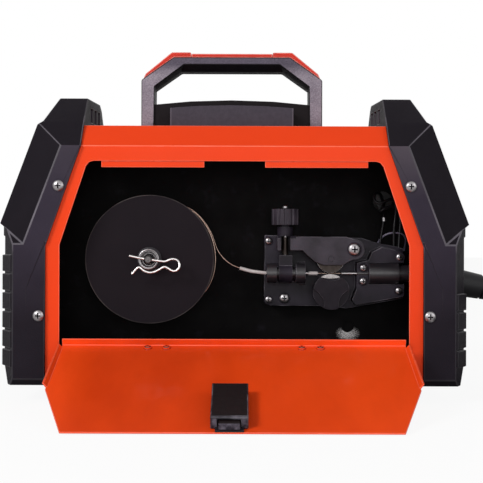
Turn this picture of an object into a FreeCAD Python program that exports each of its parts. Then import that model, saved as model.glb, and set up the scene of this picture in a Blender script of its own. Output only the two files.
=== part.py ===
"""Compact MIG welding machine with its wire compartment door open, as a parametric FreeCAD document.

Millimetres. +X is the front of the machine, +Z is up and -Y is the side with the wire door.
The origin is on the floor, under the middle of the machine with its door open.
"""
import FreeCAD, Part
import math
import os
import re
import Sketcher
from FreeCAD import Placement, Rotation, Vector

# --- driving dimensions ---------------------------------------------------------------------
# Heights are above the floor. "depth" is measured inwards (+Y) from the door side of the frames.
DIMENSIONS = {
    # whole machine
    "machine_width": 165,
    "side_y": -15.5,
    "foot_height": 13,
    "frame_top": 235,
    # painted steel cover
    "sheet": 1.5,
    "cover_inset": 2.8,
    "cover_reach": 153,
    "cover_bottom": 16,
    "cover_crease": 194.5,
    "cover_chamfer": 17,
    "bend_height": 119.5,
    "end_slope": 21.8,
    # wire compartment opening and door
    "opening_half": 132.2,
    "opening_top_half": 111,
    "opening_bottom": 41.5,
    "opening_top": 183,
    "hinge_height": 41.5,
    "hinge_depth": 0.6,
    "door_half": 129,
    "door_top_half": 109.5,
    "door_bend": 78,
    "door_reach": 140.5,
    "door_sheet": 1.2,
    "door_open": 107.8,
    # moulded end frames, measured outwards from the middle of the machine
    "frame_inner": 142.6,
    "frame_inner_top": 116,
    "frame_nose": 180,
    "frame_lower": 176.4,
    "frame_chamfer": 40.5,
    "bevel_depth": 17,
    "panel_face": 156,
    "panel_sheet": 2.5,
    "rib_pitch": 14.4,
    "ring_side": 20,
    "ring_bottom": 22,
    "ring_top": 208,
    # inner walls
    "partition_depth": 76,
    "wall": 1.2,
    # wire spool
    "spool_x": -66,
    "spool_z": 108.4,
    "spool_radius": 50,
    "spool_depth": 25,
    "spool_width": 45,
    "spool_flange": 2,
    "spool_bore": 8,
    "winding_radius": 46,
    "hub_radius": 26,
    # wire feeder
    "wire_z": 97.3,
    "wire_depth": 48,
    "wire_radius": 0.4,
    "roller_x": 75.9,
    "drive_radius": 13.5,
    "press_radius": 11,
    "roller_width": 11,
    "arm_pivot_x": 94.3,
    "arm_pivot_z": 116.4,
    "rod_x": 40,
    "saddle_radius": 29.6,
    # carrying handle
    "handle_x": -3,
    "handle_half": 73.8,
    "handle_depth": 69,
    "handle_width": 27,
    "handle_band": 10.2,
    "handle_shoulder": 254,
    "handle_crown": 272.5,
    "strip_height": 4.5,
    # torch connection
    "torch_depth": 52,
    "torch_z": 93,
    "torch_droop": 10.5,
    "lead_radius": 7,
}

doc = FreeCAD.newDocument("mig_welding_machine")
sheet = doc.addObject("Spreadsheet::Sheet", "dim")
for row, (alias, number) in enumerate(DIMENSIONS.items(), start=1):
    sheet.set(f"A{row}", alias)
    sheet.set(f"B{row}", str(number))
    sheet.setAlias(f"B{row}", alias)
doc.recompute()

WORDS = re.compile(r"\b(" + "|".join(sorted(DIMENSIONS, key=len, reverse=True)) + r")\b")
NODES = {}


# --- drawing helpers ------------------------------------------------------------------------
def cells(text):
    """An expression of the document from one that names the sheet's cells."""
    return WORDS.sub(r"dim.\1", str(text))


def size(text):
    """The number that such an expression gives."""
    result = sheet.evalExpression(cells(text))
    return float(getattr(result, "Value", result))


def bind(obj, **properties):
    """Bind an object's sizes to the sheet; a double underscore stands for a dot."""
    for name, text in properties.items():
        obj.setExpression(name.replace("__", "."), cells(text))


def move(obj, at, turn=None):
    """Place an object at bound coordinates, turned by a fixed rotation."""
    obj.Placement = Placement(Vector(*[size(text) for text in at]), turn or Rotation())
    bind(obj, Placement__Base__x=at[0], Placement__Base__y=at[1], Placement__Base__z=at[2])
    return obj


AXES = {
    "X": Rotation(Vector(0, 1, 0), 90),
    "Y": Rotation(Vector(1, 0, 0), -90),
    "Z": Rotation(),
}


def release(obj):
    """Free an object's place from the sheet, so that it can be turned with another piece."""
    for axis in "xyz":
        obj.setExpression(f"Placement.Base.{axis}", None)


def node(obj, name):
    """Name an object as one of the machine's pieces."""
    obj.Label = name
    NODES[name] = obj
    return obj


def box(at, dims):
    """A block from its lowest corner and its three sizes."""
    item = doc.addObject("Part::Box", "block")
    bind(item, Length=dims[0], Width=dims[1], Height=dims[2])
    return move(item, at)


def rod(axis, at, radius, length):
    """A cylinder that starts at a point and runs along +X, +Y or +Z."""
    item = doc.addObject("Part::Cylinder", "rod")
    bind(item, Radius=radius, Height=length)
    return move(item, at, AXES[axis])


def taper(axis, at, radius, end_radius, length):
    """A cone that starts at a point and runs along +X, +Y or +Z."""
    item = doc.addObject("Part::Cone", "taper")
    bind(item, Radius1=radius, Radius2=end_radius, Height=length)
    return move(item, at, AXES[axis])


def plate(plane, points, start, depth):
    """A flat outline in the XZ, YZ or XY plane, padded towards +Y, +X or +Z."""
    body = doc.addObject("PartDesign::Body", "outline_body")
    sketch = body.newObject("Sketcher::SketchObject", "outline")
    origin = next(f for f in body.Origin.OriginFeatures if f.Role == plane + "_Plane")
    sketch.AttachmentSupport = [(origin, "")]
    sketch.MapMode = "FlatFace"
    corners = [Vector(size(a), size(b), 0) for a, b in points]
    for index, corner in enumerate(corners):
        sketch.addGeometry(Part.LineSegment(corner, corners[(index + 1) % len(corners)]), False)
    for index, (across, up) in enumerate(points):
        following = (index + 1) % len(points)
        sketch.addConstraint(Sketcher.Constraint("Coincident", index, 2, following, 1))
        for kind, text, number in (
            ("DistanceX", across, corners[index].x),
            ("DistanceY", up, corners[index].y),
        ):
            row = sketch.addConstraint(Sketcher.Constraint(kind, index, 1, number))
            if WORDS.search(str(text)):
                sketch.setExpression(f"Constraints[{row}]", cells(text))
    pad = body.newObject("PartDesign::Pad", "pad")
    pad.Profile = sketch
    pad.Reversed = plane == "XZ"
    sketch.setExpression("AttachmentOffset.Base.z", cells(f"-({start})" if plane == "XZ" else start))
    bind(pad, Length=depth)
    return body


def fuse(*items):
    item = doc.addObject("Part::MultiFuse", "joined")
    item.Shapes = list(items)
    item.Refine = True
    return item


def cut(base, *tools):
    item = doc.addObject("Part::Cut", "trimmed")
    item.Base = base
    item.Tool = tools[0] if len(tools) == 1 else fuse(*tools)
    item.Refine = True
    return item


def overlap(first, second):
    item = doc.addObject("Part::Common", "shared")
    item.Base = first
    item.Tool = second
    return item


def group(*items):
    """Separate solids that make one node."""
    item = doc.addObject("Part::Compound", "group")
    item.Links = list(items)
    return item


def mirror(source, across):
    """A mirror image across a plane through the middle of the machine."""
    item = doc.addObject("Part::Mirroring", "mirrored")
    item.Source = source
    item.Normal = Vector(1, 0, 0) if across == "X" else Vector(0, 1, 0)
    if across == "Y":
        bind(item, Base__y="side_y + machine_width / 2")
    return item


def ring(axis, at, radius, bore, length):
    """A tube along +X, +Y or +Z."""
    return cut(rod(axis, at, radius, length), rod(axis, at, bore, length))


def shape_node(name, shape):
    """A piece whose shape is worked out in code."""
    item = doc.addObject("Part::Feature", name)
    item.Shape = shape
    return node(item, name)


def back(depth):
    """The Y of a depth inside the machine."""
    return f"side_y + {depth}"


COVER_TOP = "cover_crease + cover_chamfer"


# --- moulded end frames ---------------------------------------------------------------------
def end_frame(ribs):
    """An end frame: a thick moulded ring round one end of the machine, with armour ribs."""
    outer = plate("XZ", [
        ("frame_inner_top", "frame_top"), ("frame_nose - 41.7", "frame_top"),
        ("frame_nose - 32.1", 214.4), ("frame_nose - 28.3", 211.9),
        ("frame_nose", 136), ("frame_nose", 127), ("frame_lower", 125.8), ("frame_lower", 27.9),
        ("frame_lower - 4", "foot_height"), ("frame_inner", "foot_height"),
        ("frame_inner", "bend_height - 1"), ("frame_inner_top", "cover_crease"),
    ], "side_y", "machine_width")
    # The roof's inner edge bows towards the handle, and is slotted.
    roof = plate("XY", [
        ("frame_inner_top + 4", back("frame_chamfer")), ("frame_inner_top", back("frame_chamfer")),
        ("frame_inner_top - 4", back("machine_width / 2")),
        ("frame_inner_top", back("machine_width - frame_chamfer")),
        ("frame_inner_top + 4", back("machine_width - frame_chamfer")),
    ], f"{COVER_TOP} + 0.6", f"frame_top - ({COVER_TOP}) - 0.6")
    shoulder = plate("YZ", [
        (back(-1), "cover_crease - 1.1"), (back(17.5), 214),
        (back("frame_chamfer + 0.5"), "frame_top + 0.45"), (back(-1), "frame_top + 0.45"),
    ], 90, 100)

    # A wide bevel runs down to a ledge, and a narrow one from there to the foot.
    ledge = [(back(-2), 118.3), (back(30), 148.1)]
    above = plate("YZ", [*ledge, (back(30), 260), (back(-2), 260)], 100, 100)
    below = plate("YZ", [*ledge, (back(30), 0), (back(-2), 0)], 100, 100)
    upper_bevel = move(plate("XY", [
        (190, back(-1)), (225, back(-1)), (225, back(22.4)), (216.9, back("bevel_depth")),
        (191.5, back(0)),
    ], -40, 230), (0, 0, 0), Rotation(Vector(0, 1, 0), -20.7))
    lower_bevel = plate("XY", [
        ("frame_lower - 9.6", back(-1)), (181, back(-1)), (181, back(25.6)),
        ("frame_lower", back("bevel_depth")), ("frame_lower - 9.1", back(0)),
    ], 0, 150)
    foot_bevel = plate("YZ", [
        (back(-1), 19), (back(5), "foot_height"), (back(5), 12), (back(-1), 12),
    ], 100, 100)
    sunk_side = overlap(
        plate("XZ", [(142, 122), (142.9, 122), (157, 86.7), (157, 60), (142, 60)], back(-1), 4),
        plate("YZ", [(back(-1), 67), (back(0), 67), (back(0.9), 122), (back(-1), 122)], 130, 40),
    )
    corners = [
        shoulder, overlap(upper_bevel, above), overlap(lower_bevel, below), foot_bevel, sunk_side,
    ]
    corners += [mirror(corner, "Y") for corner in corners]

    inner = plate("XZ", [
        ("panel_face", "foot_height + 1.4"), ("panel_face", 123), ("panel_face - 34", "ring_top"),
        ("frame_inner_top - 10", "ring_top"), ("frame_inner_top - 10", "foot_height + 1.4"),
    ], back("cover_inset + sheet"), "machine_width - 2 * cover_inset - 2 * sheet")
    inner = overlap(inner, plate("YZ", [
        (y, z if z != "cover_bottom" else 0) for y, z in cover_outline("sheet")
    ], 90, 100))
    cover_path = plate("YZ", cover_outline("-0.15"), 90, "cover_reach + 0.5 - 90")
    cover_path = overlap(cover_path, cover_side_view("0.5", 0, 165))
    opening = plate("YZ", ring_opening(), 90, 120)
    roof_hollow = plate("XZ", [
        ("frame_inner_top + 1", f"{COVER_TOP} + 3"), ("frame_inner_top + 18", f"{COVER_TOP} + 3"),
        ("frame_inner_top + 12", "frame_top - 3"), ("frame_inner_top + 1", "frame_top - 3"),
    ], back("frame_chamfer + 2"), "machine_width - 2 * frame_chamfer - 4")
    vents = [
        box(("frame_inner_top - 14", back(50 + 13 * index), 217), (16, 8, 11)) for index in range(6)
    ]
    body = cut(fuse(outer, roof), *corners, inner, cover_path, opening, roof_hollow, *vents)

    raised = []
    for index in range(ribs):
        near = plate("XY", [
            ("frame_lower - 8.2", back(1.7)), ("frame_lower - 7.4", back(0.8)),
            ("frame_lower + 1.9", back("bevel_depth")), ("frame_lower + 1.9", back("ring_side")),
            ("frame_lower - 4.4", back("ring_side")), ("frame_lower - 4.4", back(12)),
        ], f"27.2 + {index} * rib_pitch", "rib_pitch - 1.9")
        raised += [near, mirror(near, "Y")]
    return cut(fuse(body, *raised), frame_screw_holes(2.2))


def cover_outline(inset):
    """The cover's cross-section, in YZ, inset from its outer face."""
    low, high = back(f"cover_inset + ({inset})"), back(f"machine_width - cover_inset - ({inset})")
    bevel = f"(cover_chamfer - 0.586 * ({inset}))"
    top = f"{COVER_TOP} - ({inset})"
    return [
        (low, "cover_bottom"), (high, "cover_bottom"), (high, f"{top} - {bevel}"),
        (f"{high} - {bevel}", top), (f"{low} + {bevel}", top), (low, f"{top} - {bevel}"),
    ]


def cover_side_view(grow, start, depth):
    """A slab with the cover's side outline, whose upper ends lean inwards."""
    reach = f"cover_reach + {grow}"
    return plate("XZ", [
        (f"-({reach})", 0), (reach, 0), (reach, 122), (f"{reach} - 37.5", 216),
        (f"-({reach} - 37.5)", 216), (f"-({reach})", 122),
    ], back(start), depth)


def ring_opening():
    """The opening through an end frame, in YZ."""
    low, high = back("ring_side"), back("machine_width - ring_side")
    return [
        (low, "ring_bottom"), (high, "ring_bottom"), (high, "ring_top - 32"),
        (f"{high} - 32", "ring_top"), (f"{low} + 32", "ring_top"), (low, "ring_top - 32"),
    ]


SCREW_PLACES = [(sign * x, z) for sign in (-1, 1) for x, z in ((132.8, 164), (147.5, 66))]


def frame_screw_holes(radius):
    holes = []
    for x, z in SCREW_PLACES:
        holes.append(rod("Y", (x, back(-1), z), radius, 8))
        holes.append(rod("Y", (x, back("machine_width - 7"), z), radius, 8))
    return fuse(*holes)


def frame_screws():
    """Pan head screws through the frames' sides into the cover."""
    screws = []
    for x, z in SCREW_PLACES:
        near = fuse(
            rod("Y", (x, back(-2.2), z), 4.4, 2.2), rod("Y", (x, back(-1), z), 1.9, 7),
        )
        screws += [near, mirror(near, "Y")]
    return group(*screws)


# --- painted cover, tray and inner walls ------------------------------------------------------
def side_cover():
    """One folded sheet: both sides and the top, with the wire compartment's opening."""
    skin = cut(
        plate("YZ", cover_outline("0"), -160, 320), plate("YZ", [
            (y, z if z != "cover_bottom" else 0) for y, z in cover_outline("sheet")
        ], -161, 322),
    )
    skin = overlap(skin, cover_side_view("0", -5, 175))
    opening = plate("XZ", [
        ("-opening_half", "opening_bottom"), ("opening_half", "opening_bottom"),
        ("opening_half", "bend_height"), ("opening_top_half + 1.4", "opening_top - 4"),
        ("opening_top_half - 1", "opening_top - 1"), ("opening_top_half - 4", "opening_top"),
        ("-(opening_top_half - 4)", "opening_top"), ("-(opening_top_half - 1)", "opening_top - 1"),
        ("-(opening_top_half + 1.4)", "opening_top - 4"), ("-opening_half", "bend_height"),
    ], back(-1), 10)
    louvres = [
        box((sign * 75 - 22.5, back("machine_width - 8"), 60 + 9 * row), (45, 10, 3))
        for sign in (-1, 1) for row in range(12)
    ]
    tabs = [
        box((centre - 39, back("cover_inset + sheet"), "opening_top - 4.7"), (78, "sheet", 12))
        for centre in (-62, 62)
    ]
    handle_holes = [
        rod("Z", (f"handle_x + {sign} * (handle_half - 5)", back("handle_depth + handle_width / 2"),
                  200), 2.3, 20)
        for sign in (-1, 1)
    ]
    hinge_holes = [rod("Y", (x, back(-1), 33), 1.7, 8) for x in HINGE_RIVETS]
    skin = cut(skin, opening, *louvres, *handle_holes, *hinge_holes, frame_screw_holes(2.2))
    return fuse(skin, *tabs)


HINGE_CENTRES = (-57.5, 57.5)
HINGE_RIVETS = [centre + side for centre in HINGE_CENTRES for side in (-7, 7)]


def base_tray():
    """The black steel tray that carries everything."""
    low, high = "cover_inset + sheet + 0.2", "machine_width - cover_inset - sheet - 0.2"
    start, length = "0.4 - frame_inner", "2 * frame_inner - 0.8"
    floor = box((start, back(low), "foot_height"), (length, f"{high} - ({low})", "sheet"))
    near = box((start, back(low), "foot_height"), (length, "sheet", 14))
    far = mirror(near, "Y")
    holes = [rod("Z", (x, back(y), 5), 2.6, 15) for x, y in FOOT_PLACES]
    return cut(fuse(floor, near, far), *holes)


FOOT_PLACES = [(x, y) for x in (-122, 122) for y in (24, 141)]


def rubber_foot(x, y):
    """A tapered rubber foot with a recess for its screw."""
    body = taper("Z", (x, back(y), 0), 10, 12.5, "foot_height")
    return cut(body, rod("Z", (x, back(y), -1), 5.5, 6), rod("Z", (x, back(y), 4), 2.6, 12))


def partition():
    """The black wall between the wire compartment and the electronics, with its two end walls."""
    low = "foot_height + sheet"
    wall = overlap(
        cover_side_view("-3", "partition_depth", "wall"),
        box(("-cover_reach", back(50), low), ("2 * cover_reach", 50, f"208 - ({low})")),
    )
    ends = [
        box((x, back("cover_inset + sheet + 2"), low),
            ("wall", "partition_depth - cover_inset - sheet - 2", 104))
        for x in ("-cover_reach + 3", "cover_reach - 3 - wall")
    ]
    holes = [
        rod("Y", ("roller_x", back("partition_depth - 1"), DRIVE_Z), 9, 4),
        rod("Y", ("spool_x", back("partition_depth - 1"), "spool_z"), 3.1, 4),
        rod("Y", (93.5, back("partition_depth - 1"), 52.6), 4.5, 4),
        rod("Y", (121, back("partition_depth - 1"), 156), 8, 4),
        rod("X", ("cover_reach - 6", back("torch_depth"), "torch_z"), 12.2, 6),
        rod("X", ("-cover_reach + 1", back(GAS_DEPTH), GAS_Z), 6, 6),
        rod("X", ("-cover_reach + 1", back(GAS_DEPTH), CORD_Z), 9, 6),
    ]
    return cut(fuse(wall, *ends), *holes)


DRIVE_Z = "wire_z - wire_radius - drive_radius - 0.02"
PRESS_Z = "wire_z + wire_radius + press_radius + 0.02"
GAS_DEPTH, GAS_Z, CORD_Z = 46, 48, 92


# --- door, hinges and latch ------------------------------------------------------------------
HINGE = (0, "side_y + hinge_depth", "hinge_height")
HINGE_POINT = Vector(*[size(text) for text in HINGE])


def swing_open(item):
    """Turn a piece drawn on the closed door to where it lies with the door open."""
    turn = Placement(Vector(), Rotation(Vector(1, 0, 0), size("door_open")), HINGE_POINT)
    item.Placement = turn.multiply(item.Placement)
    return item


# The closed door's sheet stands just outside the hinge line, flush with the cover.
DOOR_FACE = "cover_inset"
LATCH_X = -2


def door_panel():
    """The door's sheet with its folded side lips and bottom flange, drawn closed."""
    bottom, bend, top = "hinge_height + 0.6", "hinge_height + door_bend", "hinge_height + door_reach"
    panel = plate("XZ", [
        ("-door_half", bottom), ("door_half", bottom), ("door_half", bend),
        ("door_top_half", top), ("-door_top_half", top), ("-door_half", bend),
    ], back(DOOR_FACE), "door_sheet")
    flange = box(("-door_half", back(DOOR_FACE), bottom), ("2 * door_half", 6.2, "door_sheet"))
    lip = plate("XY", [
        ("door_half - 0.4", back("cover_inset")), ("door_half", back("cover_inset")),
        ("door_half + 2.6", back("cover_inset + 4")), ("door_half + 1.4", back("cover_inset + 4")),
        ("door_half - 0.9", back("cover_inset + door_sheet")),
    ], f"{bottom} + 5", "door_bend - 9")
    holes = [rod("Y", (x, back(0), "hinge_height + 7"), 1.7, 8) for x in HINGE_RIVETS]
    slot = box((LATCH_X - 7, back(0), "hinge_height + 112"), (14, 8, 20))
    return cut(fuse(panel, flange, lip, mirror(lip, "X")), *holes, slot)


def hinge_leaf(centre, moving):
    """One half of a small butt hinge, with its knuckles round the pin."""
    gap = 0.15
    depth = DOOR_FACE if moving else "cover_inset"
    low = 3 if moving else -16
    leaf = box((centre - 12, back(f"{depth} - 1.2"), f"hinge_height + {low}"), (24, 1.1, 13))
    knuckles = [(centre - 4, 8)] if moving else [(centre - 12, 8 - gap), (centre + 4 + gap, 8 - gap)]
    web_low = 0 if moving else -4
    parts = [leaf]
    for start, length in knuckles:
        parts.append(rod("X", (start + (gap if moving else 0), *HINGE[1:]), 2,
                         length - (gap if moving else 0) * 2))
        parts.append(box((start + (gap if moving else 0), back(f"{depth} - 1.2"),
                          f"hinge_height + {web_low}"),
                         (length - (gap if moving else 0) * 2, 1.1, 4)))
    rivets = [rod("Y", (centre + side, back(0), f"hinge_height + {7 if moving else -8.5}"), 1.7, 8)
              for side in (-7, 7)]
    bore = rod("X", (centre - 13, *HINGE[1:]), 1.26, 26)
    return cut(fuse(*parts), bore, *rivets)


def hinge_rivets(moving):
    """Dome head rivets through each hinge leaf."""
    rivets = []
    height = 7 if moving else -8.5
    for x in HINGE_RIVETS:
        rivets.append(fuse(
            rod("Y", (x, back("cover_inset - 2.4"), f"hinge_height + {height}"), 3, 1.2),
            rod("Y", (x, back("cover_inset - 2.4"), f"hinge_height + {height}"), 1.6, 5.6),
            rod("Y", (x, back(f"cover_inset + {'door_sheet' if moving else 'sheet'}"),
                      f"hinge_height + {height}"), 3, 1.3),
        ))
    return group(*rivets)


def hinge_pins():
    return group(*[rod("X", (centre - 12, *HINGE[1:]), 1.2, 24) for centre in HINGE_CENTRES])


def latch_housing():
    """The latch's body on the door's inner face, hollow for its sliding bolt."""
    inner = "cover_inset + door_sheet"
    block = plate("YZ", [
        (back(inner), "hinge_height + 86"), (back(f"{inner} + 8.2"), "hinge_height + 86"),
        (back(f"{inner} + 9"), "hinge_height + 86.8"), (back(f"{inner} + 9"), "hinge_height + 135"),
        (back(f"{inner} + 8"), "hinge_height + 136"), (back(inner), "hinge_height + 136"),
    ], LATCH_X - 12.2, 24.4)
    tunnel = box((LATCH_X - 7.2, back(f"{inner} + 1.5"), "hinge_height + 100"), (14.4, 5, 40))
    grip = box((LATCH_X - 6.8, back(0), "hinge_height + 112.2"),
               (13.6, "cover_inset + door_sheet + 2", 19.6))
    return cut(block, tunnel, grip)


def latch_bolt():
    """The sliding bolt, drawn back: its tongue ends at the door's top edge, its grip is outside."""
    inner = "cover_inset + door_sheet"
    bolt = box((LATCH_X - 7, back(f"{inner} + 1.7"), "hinge_height + 106"),
               (14, 4.6, "door_reach - 106"))
    grip = fuse(
        box((LATCH_X - 5, back("cover_inset - 0.8"), "hinge_height + 116"), (10, "door_sheet + 2.8", 7)),
        box((LATCH_X - 6.8, back("cover_inset - 0.8"), "hinge_height + 114"), (13.6, 0.7, 11)),
    )
    return fuse(bolt, grip)


# --- wire spool ------------------------------------------------------------------------------


def spool_at(depth):
    return ("spool_x", back(f"spool_depth + {depth}"), "spool_z")


def wire_spool():
    """A small moulded spool: two flanges on a hub, with a bore for the spindle."""
    rear = "spool_width - spool_flange"
    return cut(
        fuse(
            rod("Y", spool_at(0), "spool_radius", "spool_flange"),
            rod("Y", spool_at(rear), "spool_radius", "spool_flange"),
            ring("Y", spool_at(0), "hub_radius", "hub_radius - 2.5", "spool_width"),
            rod("Y", spool_at(0), "spool_bore + 2.5", "spool_width"),
        ),
        rod("Y", spool_at(-1), "spool_bore", "spool_width + 2"),
    )


def wire_winding():
    """The copper coated wire wound on the hub."""
    return ring("Y", spool_at("spool_flange"), "winding_radius", "hub_radius + 0.02",
                "spool_width - 2 * spool_flange")


def spool_spindle():
    """The fixed plastic spindle, with its flange against the inner wall."""
    reach = "partition_depth - spool_depth"
    return cut(
        fuse(
            rod("Y", spool_at("-1"), "spool_bore - 0.06", f"{reach} + 1"),
            rod("Y", spool_at("spool_width + 0.6"), 19, f"{reach} - spool_width - 0.6"),
        ),
        rod("Y", spool_at(-2), 3.05, f"{reach} + 3"),
    )


def spindle_bolt():
    """The steel bolt through the spindle, cross drilled for its clip."""
    return cut(
        fuse(rod("Y", spool_at(-15), 3, "partition_depth - spool_depth + 20"),
             rod("Y", spool_at("partition_depth - spool_depth + wall"), 6, 4)),
        rod("X", ("spool_x - 5", back("spool_depth - 12"), "spool_z"), 1, 10),
    )


def brake_washer():
    return ring("Y", spool_at(-1.8), 9.5, 3.2, 0.8)


def brake_spring():
    """The spring that brakes the spool, as the tube that its turns fill."""
    return ring("Y", spool_at(-10.6), 6.75, 4.6, 8.8)


def spring_clip():
    """A bent wire clip through the bolt's cross hole: one straight leg and one wavy one."""
    y = size(back("spool_depth - 12"))
    x, z = size("spool_x"), size("spool_z")
    route = [
        (x - 16, z), (x + 17, z), (x + 21, z - 2), (x + 23.5, z - 5), (x + 21.5, z - 8),
        (x + 17, z - 8.5), (x + 12, z - 5.6), (x + 6, z - 5.2), (x, z - 5.4), (x - 6, z - 8.4),
        (x - 12, z - 6), (x - 15, z - 9),
    ]
    points = [Vector(a, y, b) for a, b in route]
    return tube(points, 0.9)[0]


def tube(points, radius):
    """A round bar along straight runs joined by tangent arcs, with the arcs' least radius."""
    edges = []
    radii = []
    start = points[0]
    for before, corner, after in zip(points, points[1:], points[2:]):
        arriving, leaving = corner - before, after - corner
        reach = 0.45 * min(arriving.Length, leaving.Length)
        arriving.normalize()
        leaving.normalize()
        turn = arriving.getAngle(leaving)
        arc_radius = reach / math.tan(turn / 2)
        radii.append(arc_radius)
        first, last = corner - arriving * reach, corner + leaving * reach
        inwards = leaving - arriving
        inwards.normalize()
        middle = corner + inwards * (arc_radius / math.cos(turn / 2) - arc_radius)
        edges.append(Part.LineSegment(start, first).toShape())
        edges.append(Part.Arc(first, middle, last).toShape())
        start = last
    edges.append(Part.LineSegment(start, points[-1]).toShape())
    path = Part.Wire(edges)
    section = Part.Wire([Part.Circle(points[0], points[1] - points[0], radius).toShape()])
    solid = path.makePipeShell([section], True, False)
    expected = math.pi * radius ** 2 * path.Length
    if abs(solid.Volume / expected - 1) > 0.01:
        raise RuntimeError(f"tube volume {solid.Volume:.1f}, expected {expected:.1f}")
    return solid, min(radii), path.Length


# --- wire feeder ------------------------------------------------------------------------------
def feed_at(x, z, depth):
    return (x, back(depth), z)


def feeder_body():
    """The moulded body on the inner wall, with the outlet housing and the drive shaft's bush."""
    plinth = plate("XZ", [
        (24, 127.7), (101.8, 125.7), (115.8, 121.6), (131.3, 118.6), (135.4, 117), (135.4, 76.8),
        (89.5, 68.7), (74, 70.7), (28.5, 70.7), (23.4, 78),
    ], back(58), "partition_depth - 58")
    outlet = plate("XZ", [
        (106, 108), (109, 114.5), (117, 118.5), (131, 115.5), (134.5, 111), (134.5, 79),
        (96, 72), (93, 76), (97, 86), (97, 106),
    ], back(46), 12.5)
    saddle = box(feed_at(27, 91, 51), (28, 7.5, 11))
    lug = box(feed_at(51, 88, 52), (5, 6.5, 18))
    boss = rod("Y", feed_at("arm_pivot_x", "arm_pivot_z", 57.6), 6, 1)
    tools = [
        rod("X", (24, back("wire_depth"), "wire_z"), 8, 32),
        rod("X", (96, back("wire_depth"), "wire_z"), 2.3, 14),
        rod("X", (106.1, back("wire_depth"), "wire_z"), 8.7, 32),
        rod("Y", feed_at("roller_x", DRIVE_Z, 57), 4.05, 20),
        rod("Y", feed_at("arm_pivot_x", "arm_pivot_z", 57), 2.5, 12),
    ] + [rod("Y", feed_at(x, z, 44), 2, 27) for x, z, face in FEEDER_SCREWS]
    return cut(fuse(plinth, outlet, saddle, lug, boss), *tools)


# Where each face screw stands and how deep under its head the body's face is.
FEEDER_SCREWS = [
    (27.2, 122.8, 58), (27.2, 75.7, 58), (40, 76.8, 58), (102.3, 101.7, 46), (102, 91, 46),
    (131, 110.4, 46), (130.5, 83.5, 46),
]


def feeder_screws():
    screws = []
    for x, z, face in FEEDER_SCREWS:
        head = rod("Y", feed_at(x, z, face - 2), 3.4, 2)
        screws.append(fuse(head, rod("Y", feed_at(x, z, face - 1), 1.9, 12)))
    return group(*screws)


def inlet_guide():
    """The turned inlet guide, waisted for the tension arm's sleeve."""
    return cut(
        fuse(
            rod("X", (25.2, back("wire_depth"), "wire_z"), 7.9, 8.3),
            rod("X", (33, back("wire_depth"), "wire_z"), 5, 16),
            rod("X", (48.5, back("wire_depth"), "wire_z"), 7.9, 7.5),
        ),
        rod("X", (24, back("wire_depth"), "wire_z"), 2, 7),
        rod("X", (30, back("wire_depth"), "wire_z"), 1.42, 18),
        rod("X", (40, back("wire_depth"), "wire_z"), 0.7, 20),
        rod("X", (52, back("wire_depth"), "wire_z"), 1.1, 6),
    )


def guide_tips():
    """The fine metal tips that hold the wire on both sides of the rollers."""
    return group(
        ring("X", (52, back("wire_depth"), "wire_z"), 1.1, 0.6, 14.4),
        ring("X", (85, back("wire_depth"), "wire_z"), 1.1, 0.6, 12),
    )


def outlet_guide():
    """The turned outlet that takes the torch lead's inner end."""
    return cut(
        fuse(
            rod("X", (97.4, back("wire_depth"), "wire_z"), 2.2, 10),
            rod("X", (106.2, back("wire_depth"), "wire_z"), 8.6, 24),
            rod("X", (130, back("wire_depth"), "wire_z"), 6.5, 14),
        ),
        rod("X", (95, back("wire_depth"), "wire_z"), 1.1, 52),
    )


def liner_points():
    y, z = size(back("wire_depth")), size("wire_z")
    return [Vector(4, y, z + 3.9), Vector(13, y, z + 1.4), Vector(25, y, z), Vector(38, y, z)]


def wire_liner():
    """The pale liner tube between the spool and the inlet guide."""
    points = liner_points()
    outer, inner = tube(points, 1.4)[0], tube(points, 0.7)[0]
    return outer.cut(inner)


def welding_wire():
    """The wire from the winding, through the liner and the rollers, to the outlet."""
    y, z = size(back("wire_depth")), size("wire_z")
    lift = math.radians(35)
    reach = size("winding_radius + wire_radius") + 0.15
    centre = Vector(size("spool_x"), y, size("spool_z"))
    start = centre + Vector(reach * math.cos(lift), 0, reach * math.sin(lift))
    leaving = Vector(math.sin(lift), 0, -math.cos(lift))
    points = [start, start + leaving * 17, Vector(-7, y, z + 9)] + liner_points() + [Vector(60, y, z + 0.001)]
    points += [Vector(size("roller_x"), y, z), Vector(96, y, z + 0.001), Vector(126, y, z)]
    return tube(points, size("wire_radius"))[0]


def pressure_arm():
    """The hinged arm over the pressure roller, forked at its end round the tension rod."""
    shell = plate("XZ", [
        (48, 126.4), (88, 126.4), ("arm_pivot_x", "arm_pivot_z + 8"),
        ("arm_pivot_x", "arm_pivot_z - 8"), (89.5, 106.4), (84.5, 103.8), (70, 103.8),
        (63.5, 106.2), (57.5, 111.2), (53.5, 115.3), (48, 115.3),
    ], back(38), 19.4)
    boss = rod("Y", feed_at("arm_pivot_x", "arm_pivot_z", 38), 8, 19.4)
    pocket = box(feed_at("roller_x - press_radius - 2", 96, "wire_depth - roller_width / 2 - 0.7"),
                 ("2 * press_radius + 4", "roller_width + 1.4", 26))
    fork = box(feed_at("rod_x - 6.4", 115.3, 38), (15, 19.4, 13))
    slot = box(feed_at("rod_x - 3.6", 114, 37), (7.2, 14.5, 15))
    saddle = rod("X", ("rod_x - 8", back("wire_depth"), "wire_z"), "saddle_radius", 17)
    fork = cut(overlap(fork, saddle), slot)
    bores = [
        rod("Y", feed_at("arm_pivot_x", "arm_pivot_z", 37), 2.56, 22),
        rod("Y", feed_at("roller_x", PRESS_Z, 37), 2.5, 22),
    ]
    return cut(fuse(shell, boss, fork), pocket, *bores)


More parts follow.
